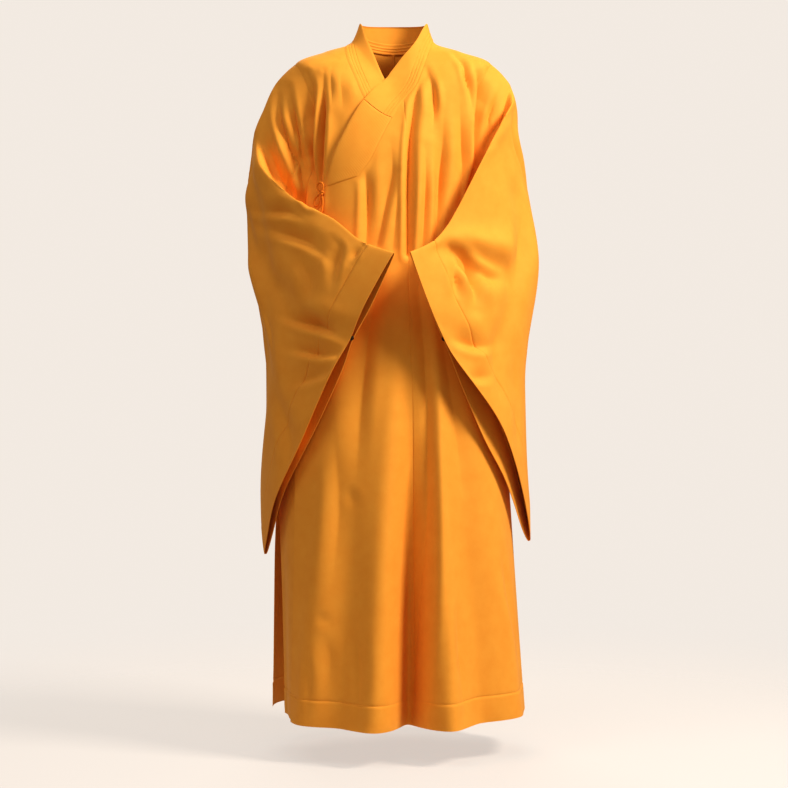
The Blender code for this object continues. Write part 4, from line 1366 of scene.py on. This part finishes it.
    def points(self) -> Array:
        """Return the sleeve's points, with its creases, facing and seams.

        Returns:
            The grid, as (rows, columns, 3).
        """
        points, along, around, from_cuff = self.grid()
        normals = grid_normals(points)
        normals[:, 0] = normals[:, -1] = unit(normals[:, 0] + normals[:, -1])
        down = 1.0 - np.abs(1.0 - 2.0 * around)
        from_armhole = ease(along / self.calm_share)
        relief = self.crease_heights(points, normals, along, down, around)
        relief *= from_armhole * ease(from_cuff / self.calm_cuff)
        aside = (down - self.stud_down) * self.depth
        relief *= 1.0 - np.exp(-(from_cuff / self.calm_stud[0]) ** 2
                               - (aside / self.calm_stud[1]) ** 2)
        from_facing = from_cuff - CUFF_FACING
        relief += CUFF_LINE.relief(from_facing)
        relief += FACING_THICKENING * ease(0.5 - from_facing / FACING_EDGE)
        relief += UNDERARM_SEAM.relief((1.0 - down) * self.depth) * from_armhole
        return points + normals * relief[..., None]


# ---------------------------------------------------------------- the body's panels

def make_panels() -> list[Panel]:
    """Return the body's panels, from the wearer's left round to the collar.

    Returns:
        The left and the right panel, the front overlap, the collar's band and its end.
    """
    up, down = (0, 1, 2, 3, 4), (4, 3, 2, 1, 0)
    to_shoulder, from_shoulder = range(7), range(6, -1, -1)
    front, back = ARMHOLE_FRONT, ARMHOLE_BACK
    left = Panel(
        "body_left_cloth", ("body_left",),
        near=Edge((CENTRE_SEAM, centre_places([0.0, 1.0, 2.0, 3.0, 3.6, 5.0]) + [7.0]),
                  (OUTER_SEWN, range(CENTRE_SPOT, 12)), (BACK_SEAM, range(8))),
        far=Edge((SIDE_SEAM, up), (front, to_shoulder), (back, from_shoulder),
                 (SIDE_SEAM, down)),
        rows=318, columns=138, crowding=1.10, lift=overlap_lift, finish=hem_relief,
        front_hem=True, back_hem=True, sewn_near=True, tuck_near=True,
        flat=(0.455, 2.99), area=0.874)
    right = Panel(
        "body_right_cloth", ("body_right",),
        near=Edge((SLIT_EDGE, up), (mirrored(front), to_shoulder),
                  (mirrored(back), from_shoulder), (mirrored(SIDE_SEAM), down)),
        far=Edge((UNDER_EDGE, range(6)), (INNER_SEWN, range(9)),
                 (mirrored(BACK_SEAM), range(8))),
        rows=318, columns=138, crowding=-1.15, lift=no_lift, finish=hem_relief,
        front_hem=True, back_hem=True, sewn_far=True, tuck_far=True,
        tucked_to=BACK_SEAM_STATION, collar_seam=INNER_SEWN, buried_from=0.0,
        flat=(0.382, 3.03), area=0.820)
    overlap = Panel(
        "front_overlap_cloth", ("front_overlap",),
        near=Edge((OVERLAP_EDGE, range(7)), (OUTER_SEWN, (0, 1, 2, 3, 3.98))),
        far=Edge((CENTRE_SEAM, centre_places([0.0, 1.0, 2.0, 3.0, 3.7, 4.0, 4.3, 4.6, 5.0,
                                              5.5, 5.9, 6.5]))),
        rows=190, columns=100, crowding=-1.25, lift=overlap_lift, finish=hem_relief,
        front_hem=True, sewn_far=True, flat=(0.388, 1.357), area=0.321)
    stitched = tuple(1.0 - (line + step) / BAND_WIDTH
                     for line in COLLAR_LINES for step in STITCHED_STEPS)
    band = Panel(
        "collar_cloth", ("collar",),
        near=Edge((OUTER_FREE, range(PATCH_SPOT, 12)),
                  (round_back(INNER_FREE[::-1]), range(9))),
        far=Edge((OUTER_SEWN, range(PATCH_SPOT, 12)),
                 (round_back(INNER_SEWN[::-1]), range(9))),
        rows=230, columns=26, extra_columns=stitched, lift=overlap_lift,
        finish=collar_relief, wall=BAND_WALL, seam_gap=COLLAR_GAP, end_trim=BAND_TRIM,
        creased=False, buried_from=358.0, flat=(0.070, 0.819), area=0.0447)
    end = Panel(
        "collar_end_cloth", ("collar_end",),
        near=Edge((OUTER_FREE, range(4))), far=Edge((OUTER_SEWN, range(4))),
        rows=210, columns=74, lift=overlap_lift, finish=quilting_relief, wall=BAND_WALL,
        seam_gap=COLLAR_GAP, end_trim=BAND_TRIM, creased=False, flat=(0.077, 0.200),
        area=0.0122)
    return [left, right, overlap, band, end]


# ---------------------------------------------------------------- materials

# The Mix node's colour sockets, and the scale at which a wave texture has one band a metre.
MIX_FIRST, MIX_SECOND = 6, 7
MIX_RESULT = 2
WAVE_SCALE = math.pi / 10.0


class Slot(Enum):
    """The finishes of the record, by their names; no piece here is given one."""

    CLOTH = "saffron_cloth"
    METAL = "dark_metal"


def linear(hex_colour: str) -> tuple[float, float, float, float]:
    """Return an sRGB hex colour as linear red, green, blue and alpha."""
    parts = [int(hex_colour[place:place + 2], 16) / 255.0 for place in (1, 3, 5)]
    return (*(part / 12.92 if part <= 0.04045 else ((part + 0.055) / 1.055) ** 2.4
              for part in parts), 1.0)


def add_node(tree: bpy.types.NodeTree, kind: str, settings: dict[str, object] | None = None,
             links: dict[str, bpy.types.NodeSocket] | None = None) -> bpy.types.Node:
    """Add a node with its settings and what feeds it.

    Args:
        tree: The material's node tree.
        kind: The node's type.
        settings: Values by the name of an input socket or a property.
        links: Output sockets by the name of the input socket that they feed.

    Returns:
        The new node.
    """
    node = tree.nodes.new(kind)
    for name, value in (settings or {}).items():
        if name in node.inputs:
            node.inputs[name].default_value = value
        else:
            setattr(node, name, value)
    for name, output in (links or {}).items():
        tree.links.new(output, node.inputs[name])
    return node


def open_material(name: str) -> tuple[bpy.types.Material, bpy.types.NodeTree, bpy.types.Node]:
    """Add an empty material.

    Args:
        name: The material's name.

    Returns:
        The material, its node tree and its output node.
    """
    material = bpy.data.materials.new(name)
    material.use_nodes = True
    material.node_tree.nodes.clear()
    output = add_node(material.node_tree, "ShaderNodeOutputMaterial")
    return material, material.node_tree, output


@dataclass(frozen=True)
class WovenCloth:
    """A dyed plain weave of spun threads: its colours, and its weave's and slubs' sizes."""

    name: str
    light: str
    dark: str
    thread: float = 0.0011
    unevenness: float = 0.4
    weave_depth: float = 0.00010
    weave_strength: float = 0.35
    slub: float = 0.035
    slub_detail: float = 5.0
    slub_roughness: float = 0.6
    roughness: float = 0.78
    shine: float = 0.25
    sheen: float = 0.20
    sheen_roughness: float = 0.45
    sheen_tint: str = "#FFC98A"

    def make(self) -> bpy.types.Material:
        """Return the cloth's material.

        Returns:
            A material that reads the sheet's thread map and its place on the robe.
        """
        material, tree, output = open_material(self.name)
        # Dyed spun polyester-cotton: matt, with a soft fuzz that lightens it at grazing
        # angles, which keeps the folds' flanks warm and the highlights broad.
        threads = add_node(tree, "ShaderNodeUVMap", {"uv_map": "Thread"})
        place = add_node(tree, "ShaderNodeTexCoord")
        # Real threads lie about 0.3 mm apart, too fine to show, so they are drawn coarser: a
        # faint grain that breaks up the light on the folds.
        weave = add_node(tree, "ShaderNodeMath", {"operation": "MULTIPLY"})
        for number, direction in enumerate(("X", "Y")):
            thread = add_node(tree, "ShaderNodeTexWave",
                              {"bands_direction": direction, "Distortion": self.unevenness,
                               "Scale": WAVE_SCALE / self.thread},
                              {"Vector": threads.outputs["UV"]})
            tree.links.new(thread.outputs["Fac"], weave.inputs[number])
        # Slubs are the uneven stretches of spun thread: faint cloudy tone across the cloth.
        cloud = add_node(tree, "ShaderNodeTexNoise",
                         {"Scale": 1.0 / self.slub, "Detail": self.slub_detail,
                          "Roughness": self.slub_roughness},
                         {"Vector": place.outputs["Object"]})
        tone = add_node(tree, "ShaderNodeMix", {"data_type": "RGBA"})
        tree.links.new(cloud.outputs["Fac"], tone.inputs["Factor"])
        tone.inputs[MIX_FIRST].default_value = linear(self.dark)
        tone.inputs[MIX_SECOND].default_value = linear(self.light)
        bump = add_node(tree, "ShaderNodeBump",
                        {"Strength": self.weave_strength, "Distance": self.weave_depth},
                        {"Height": weave.outputs["Value"]})
        cloth = add_node(tree, "ShaderNodeBsdfPrincipled",
                         {"Roughness": self.roughness, "Sheen Weight": self.sheen,
                          "Sheen Roughness": self.sheen_roughness,
                          "Sheen Tint": linear(self.sheen_tint),
                          "Specular IOR Level": self.shine},
                         {"Base Color": tone.outputs[MIX_RESULT],
                          "Normal": bump.outputs["Normal"]})
        tree.links.new(cloth.outputs["BSDF"], output.inputs["Surface"])
        return material


@dataclass(frozen=True)
class PlatedMetal:
    """A pressed and plated metal: its colour and how dull it has worn."""

    name: str
    colour: str
    least_roughness: float = 0.26
    most_roughness: float = 0.52
    wear_scale: float = 700.0
    wear_detail: float = 3.0

    def make(self) -> bpy.types.Material:
        """Return the metal's material.

        Returns:
            A material that reads the piece's place on the robe.
        """
        material, tree, output = open_material(self.name)
        place = add_node(tree, "ShaderNodeTexCoord")
        # Handling dulls the plating in patches a millimetre or two across.
        wear = add_node(tree, "ShaderNodeTexNoise",
                        {"Scale": self.wear_scale, "Detail": self.wear_detail},
                        {"Vector": place.outputs["Object"]})
        dull = add_node(tree, "ShaderNodeMapRange",
                        {"To Min": self.least_roughness, "To Max": self.most_roughness},
                        {"Value": wear.outputs["Fac"]})
        metal = add_node(tree, "ShaderNodeBsdfPrincipled",
                         {"Base Color": linear(self.colour), "Metallic": 1.0},
                         {"Roughness": dull.outputs["Result"]})
        tree.links.new(metal.outputs["BSDF"], output.inputs["Surface"])
        return material


@dataclass(frozen=True)
class PaintedFloor:
    """A matt painted studio floor in one pale colour, that runs out softly into the wall."""

    name: str
    colour: str
    paint: str = "#B0A8A1"
    roughness: float = 0.95
    shine: float = 0.1
    # Its own faint glow keeps it as pale as the wall. It covers fully near the robe.
    glow: float = 0.42
    cover: float = 0.60
    full: float = 0.7
    gone: float = 2.4

    def make(self) -> bpy.types.Material:
        """Return the floor's material.

        Returns:
            A material that grows clear towards the floor's edge.
        """
        material, tree, output = open_material(self.name)
        place = add_node(tree, "ShaderNodeTexCoord")
        reach = add_node(tree, "ShaderNodeVectorMath", {"operation": "LENGTH"})
        tree.links.new(place.outputs["Object"], reach.inputs[0])
        share = add_node(tree, "ShaderNodeMapRange",
                         {"interpolation_type": "SMOOTHSTEP", "From Min": self.full,
                          "From Max": self.gone, "To Min": self.cover, "To Max": 0.0},
                         {"Value": reach.outputs["Value"]})
        paint = add_node(tree, "ShaderNodeBsdfPrincipled",
                         {"Base Color": linear(self.paint), "Roughness": self.roughness,
                          "Specular IOR Level": self.shine,
                          "Emission Color": linear(self.colour),
                          "Emission Strength": self.glow},
                         {"Alpha": share.outputs["Result"]})
        tree.links.new(paint.outputs["BSDF"], output.inputs["Surface"])
        return material


# ---------------------------------------------------------------- the tie and the studs

TIE_SPOT = BODY.front_spots([(-0.1400, -0.3140)])
TIE_LIFT = 0.0152
TIE_CORDS = {
    "tie_loop": [(-.0046, .0008, .0048), (-.0096, .0020, .0120), (-.0072, .0030, .0200),
                 (.0002, .0028, .0215), (.0040, .0018, .0150), (.0021, .0006, .0063)],
    "tie_loop_low": [(-.0058, .0010, -.0029), (-.0142, .0020, -.0105), (-.0160, .0016, -.0205),
                     (-.0105, .0010, -.0262), (-.0048, .0006, -.0170), (-.0031, .0004, -.0059)],
    "tie_end_long": [(.0022, .0000, -.0063), (.0038, .0000, -.0180), (.0030, .0000, -.0300),
                     (.0010, .0000, -.0420), (.0000, .0000, -.0520)],
}


@dataclass
class Tie:
    """The small knotted tie that hangs at the collar's outer end."""

    cord_radius: float = 0.0019
    knot_scale: float = 0.00142
    knot_turns: int = 96
    steps: int = 8
    round_steps: int = 4

    def axes(self) -> tuple[Array, Array, Array, Array]:
        """Return where the knot lies and how it is turned.

        Returns:
            The knot's centre and its directions across, outwards and up.
        """
        angle, level = TIE_SPOT.T
        centre = BODY.point(angle, level, TIE_LIFT)[0]
        outward = BODY.normal(angle, level)[0]
        across = unit(np.cross([0.0, 0.0, 1.0], outward))
        return centre, across, outward, np.cross(outward, across)

    def place(self, points: Array) -> Array:
        """Return points, given from the knot's centre, in the robe's frame."""
        centre, across, outward, upward = self.axes()
        return centre + points @ np.array([across, outward, upward])

    def add_curve(self, name: str, points: Array, radius: float, closed: bool,
                  material: bpy.types.Material) -> bpy.types.Object:
        """Add a round cord, as a curve with a bevel.

        Args:
            name: The piece's name.
            points: The cord's route.
            radius: Its radius.
            closed: True where its ends meet.
            material: Its finish.

        Returns:
            The cord.
        """
        curve = bpy.data.curves.new(name, "CURVE")
        curve.dimensions = "3D"
        curve.bevel_depth, curve.bevel_resolution = radius, self.round_steps
        curve.use_fill_caps = not closed
        line = curve.splines.new("POLY")
        line.points.add(len(points) - 1)
        line.points.foreach_set("co", np.column_stack([points, np.ones(len(points))]).ravel())
        line.use_cyclic_u = closed
        curve.materials.append(material)
        cord = bpy.data.objects.new(name, curve)
        bpy.context.collection.objects.link(cord)
        return cord

    def build(self, material: bpy.types.Material) -> None:
        """Args:
            material: The cords' finish.
        """
        turn = np.linspace(0.0, 2.0 * np.pi, self.knot_turns, endpoint=False)
        knot_line = self.knot_scale * np.stack([
            np.sin(turn) + 2.0 * np.sin(2.0 * turn), -np.sin(3.0 * turn),
            np.cos(turn) - 2.0 * np.cos(2.0 * turn)], axis=-1)
        knot = self.add_curve("tie_knot_cloth", self.place(knot_line), self.cord_radius, True,
                              material)
        finish_piece(knot, ("tie_knot",))
        for name, spots in TIE_CORDS.items():
            route = self.place(round_route(np.array(spots), self.steps))
            cord = self.add_curve(f"{name}_cloth", route, self.cord_radius, False, material)
            finish_piece(cord, (name,))


@dataclass
class CuffStud:
    """The press stud between the two layers of a cuff: a socket, a neck and a ball disc."""

    along: float = 0.988
    radius: float = 0.0045
    disc: float = 0.0013
    neck: float = 0.0021
    span: float = 0.0058
    rounding: float = 0.28
    # How far round the stud the cloth's direction is read.
    probe_along: float = 0.01
    probe_down: float = 0.04
    ring_steps: int = 48
    edge_steps: int = 3
    smooth_angle: float = 35.0

    def spot(self, sleeve: BagSleeve, layer: str, along: float, down: float) -> Array:
        """Return one point of a sleeve's layer."""
        return sleeve.point(layer, np.array([along]), np.array([down]))[0]

    def add_disc(self, radius: float, depth: float, shift: float) -> bpy.types.Object:
        """Add a round disc with soft edges.

        Args:
            radius: The disc's radius.
            depth: Its thickness.
            shift: How far along the stud it lies.

        Returns:
            The disc.
        """
        bpy.ops.mesh.primitive_cylinder_add(vertices=self.ring_steps, radius=radius,
                                            depth=depth, location=(0.0, 0.0, shift))
        part = bpy.context.object
        edge = part.modifiers.new("Edge", "BEVEL")
        edge.width, edge.segments = depth * self.rounding, self.edge_steps
        bpy.ops.object.modifier_apply(modifier=edge.name)
        return part

    def build(self, side_name: str, sleeve: BagSleeve, material: bpy.types.Material) -> None:
        """Add a stud where a sleeve's cuff is drawn together.

        Args:
            side_name: "right" or "left".
            sleeve: The sleeve that it fastens.
            material: The stud's finish.
        """
        along, down = self.along, sleeve.stud_down
        outer = self.spot(sleeve, "outer", along, down)
        middle = (outer + self.spot(sleeve, "inner", along, down)) / 2.0
        axis = Vector(np.cross(
            self.spot(sleeve, "outer", along + self.probe_along, down)
            - self.spot(sleeve, "outer", along - self.probe_along, down),
            self.spot(sleeve, "outer", along, down + self.probe_down)
            - self.spot(sleeve, "outer", along, down - self.probe_down)))
        bpy.ops.object.select_all(action="DESELECT")
        half = (self.span - self.disc) / 2.0
        parts = [self.add_disc(self.radius, self.disc, -half),
                 self.add_disc(self.neck, self.span - 2.0 * self.disc, 0.0),
                 self.add_disc(self.radius, self.disc, half)]
        for part in parts:
            part.select_set(True)
        bpy.context.view_layer.objects.active = parts[0]
        bpy.ops.object.join()
        stud = bpy.context.object
        stud.name = stud.data.name = f"stud_{side_name}_metal"
        stud.rotation_euler = axis.to_track_quat("Z", "Y").to_euler()
        stud.location = Vector(middle) + stud.rotation_euler.to_matrix() @ stud.location
        bpy.ops.object.transform_apply(location=True, rotation=True, scale=True)
        bpy.ops.object.shade_smooth_by_angle(angle=math.radians(self.smooth_angle))
        stud.data.materials.append(material)
        finish_piece(stud, (f"stud_{side_name}",))


def finish_piece(piece: bpy.types.Object, nodes: Sequence[str]) -> None:
    """Put a piece on the robe's body, in place of its solids and with its finish.

    Args:
        piece: The finished piece.
        nodes: The solids that it stands for.
    """
    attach(piece, "root")
    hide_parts(*nodes)
    LOG.info("%s stands for %s", piece.name, ", ".join(nodes))


# ---------------------------------------------------------------- the robe

@dataclass
class Robe:
    """The whole robe: its panels, collar, sleeves, studs and tie."""

    cloth: WovenCloth
    cord: WovenCloth
    metal: PlatedMetal
    panels: list[Panel] = field(default_factory=make_panels)
    sleeves: tuple[BagSleeve, BagSleeve] = (
        BagSleeve("sleeve_right", -1.0, RIGHT_LOOPS, RIGHT_FOLDS, RIGHT_CREASES,
                  RIGHT_SIDE_CREASES, flat=(1.43, 0.777), area=0.588),
        BagSleeve("sleeve_left", 1.0, LEFT_LOOPS, LEFT_FOLDS, LEFT_CREASES,
                  LEFT_SIDE_CREASES, flat=(1.39, 0.729), area=0.560))

    def build(self) -> None:
        """Add every piece. The cords come first."""
        Tie().build(self.cord.make())
        cloth, metal = self.cloth.make(), self.metal.make()
        for panel in self.panels:
            sheet = lay_sheet(panel.name, panel.points(BODY_CREASES), panel.wall, cloth)
            finish_piece(sheet, panel.nodes)
        for sleeve in self.sleeves:
            sheet = lay_sheet(f"{sleeve.name}_cloth", sleeve.points(), CLOTH_WALL, cloth,
                              wrapped=True)
            finish_piece(sheet, (f"{sleeve.name}_outer", f"{sleeve.name}_inner"))
            CuffStud().build(sleeve.name.removeprefix("sleeve_"), sleeve, metal)


# ---------------------------------------------------------------- the studio

@dataclass(frozen=True)
class SoftLight:
    """A square soft light: where it hangs, its size in metres and its power in watts."""

    name: str
    place: tuple[float, float, float]
    size: float
    power: float
    colour: str = "#FFFFFF"


@dataclass
class Studio:
    """The camera, the lights and the pale sweep that the robe is seen against."""

    aim: tuple[float, float, float] = (0.0, 0.0, -0.722)
    camera_place: tuple[float, float, float] = (0.0, -4.16, -0.722)
    lens: float = 90.46
    sensor_width: float = 36.0
    floor_height: float = -1.46
    backdrop: PaintedFloor = PaintedFloor("matt_cream_floor", "#F6EDE4")
    floor_radius: float = 2.6
    floor_steps: int = 96
    wall_colour: str = "#F8F0E8"
    wall_strength: float = 0.80
    room_colour: str = "#FBF3EA"
    room_strength: float = 0.17
    lights: tuple[SoftLight, ...] = (
        SoftLight("key", (2.3, -1.4, 1.7), 1.0, 138.0, "#FFF8EE"),
        SoftLight("fill", (-1.7, -1.5, 1.9), 1.2, 19.0),
        SoftLight("top", (0.0, -1.6, 2.2), 1.8, 14.0),
        SoftLight("back", (-0.4, 3.2, 1.4), 2.4, 60.0))

    def build(self) -> None:
        """Add the camera, the lights, the floor and the room's even light."""
        camera = bpy.data.objects.new("camera", bpy.data.cameras.new("camera"))
        bpy.context.collection.objects.link(camera)
        camera.location, camera.data.lens = self.camera_place, self.lens
        camera.data.sensor_width = self.sensor_width
        camera.rotation_euler = (math.radians(90.0), 0.0, 0.0)
        bpy.context.scene.camera = camera
        bpy.context.scene.view_settings.view_transform = "Standard"
        bpy.context.scene.view_settings.look = "Medium High Contrast"
        for light in self.lights:
            self.add_light(light)
        self.add_room()
        bpy.ops.object.select_all(action="DESELECT")
        bpy.ops.mesh.primitive_circle_add(vertices=self.floor_steps,
                                          radius=self.floor_radius, fill_type="NGON",
                                          location=(0.0, 0.0, self.floor_height))
        floor = bpy.context.object
        floor.name = "floor"
        floor.data.materials.append(self.backdrop.make())

    def add_room(self) -> None:
        """Add the room: a cream wall to look at, and a dimmer even light from all round."""
        world = bpy.data.worlds.new("cream_room")
        world.use_nodes = True
        tree = world.node_tree
        tree.nodes.clear()
        output = add_node(tree, "ShaderNodeOutputWorld")
        rays = add_node(tree, "ShaderNodeLightPath")
        wall = add_node(tree, "ShaderNodeBackground",
                        {"Color": linear(self.wall_colour), "Strength": self.wall_strength})
        room = add_node(tree, "ShaderNodeBackground",
                        {"Color": linear(self.room_colour), "Strength": self.room_strength})
        seen = add_node(tree, "ShaderNodeMixShader", None,
                        {"Fac": rays.outputs["Is Camera Ray"]})
        tree.links.new(room.outputs["Background"], seen.inputs[1])
        tree.links.new(wall.outputs["Background"], seen.inputs[2])
        tree.links.new(seen.outputs["Shader"], output.inputs["Surface"])
        bpy.context.scene.world = world

    def add_light(self, light: SoftLight) -> None:
        """Add a soft light that faces the robe's middle.

        Args:
            light: The light.
        """
        lamp = bpy.data.lights.new(light.name, "AREA")
        lamp.shape, lamp.size, lamp.energy = "SQUARE", light.size, light.power
        lamp.color = linear(light.colour)[:3]
        holder = bpy.data.objects.new(light.name, lamp)
        bpy.context.collection.objects.link(holder)
        holder.location = light.place
        reach = Vector(self.aim) - Vector(light.place)
        holder.rotation_euler = reach.to_track_quat("-Z", "Y").to_euler()


def main() -> None:
    """Set up the studio and dress the robe."""
    logging.basicConfig(level=logging.INFO, format="%(name)s: %(message)s")
    Studio().build()
    Robe(cloth=WovenCloth("saffron_poplin", light="#F7A93F", dark="#EC962F"),
         cord=WovenCloth("saffron_cord", light="#EE8A20", dark="#DC7716", thread=0.0008,
                         slub=0.006),
         metal=PlatedMetal("gunmetal_plate", "#4A4540")).build()


if __name__ == "__main__":
    main()
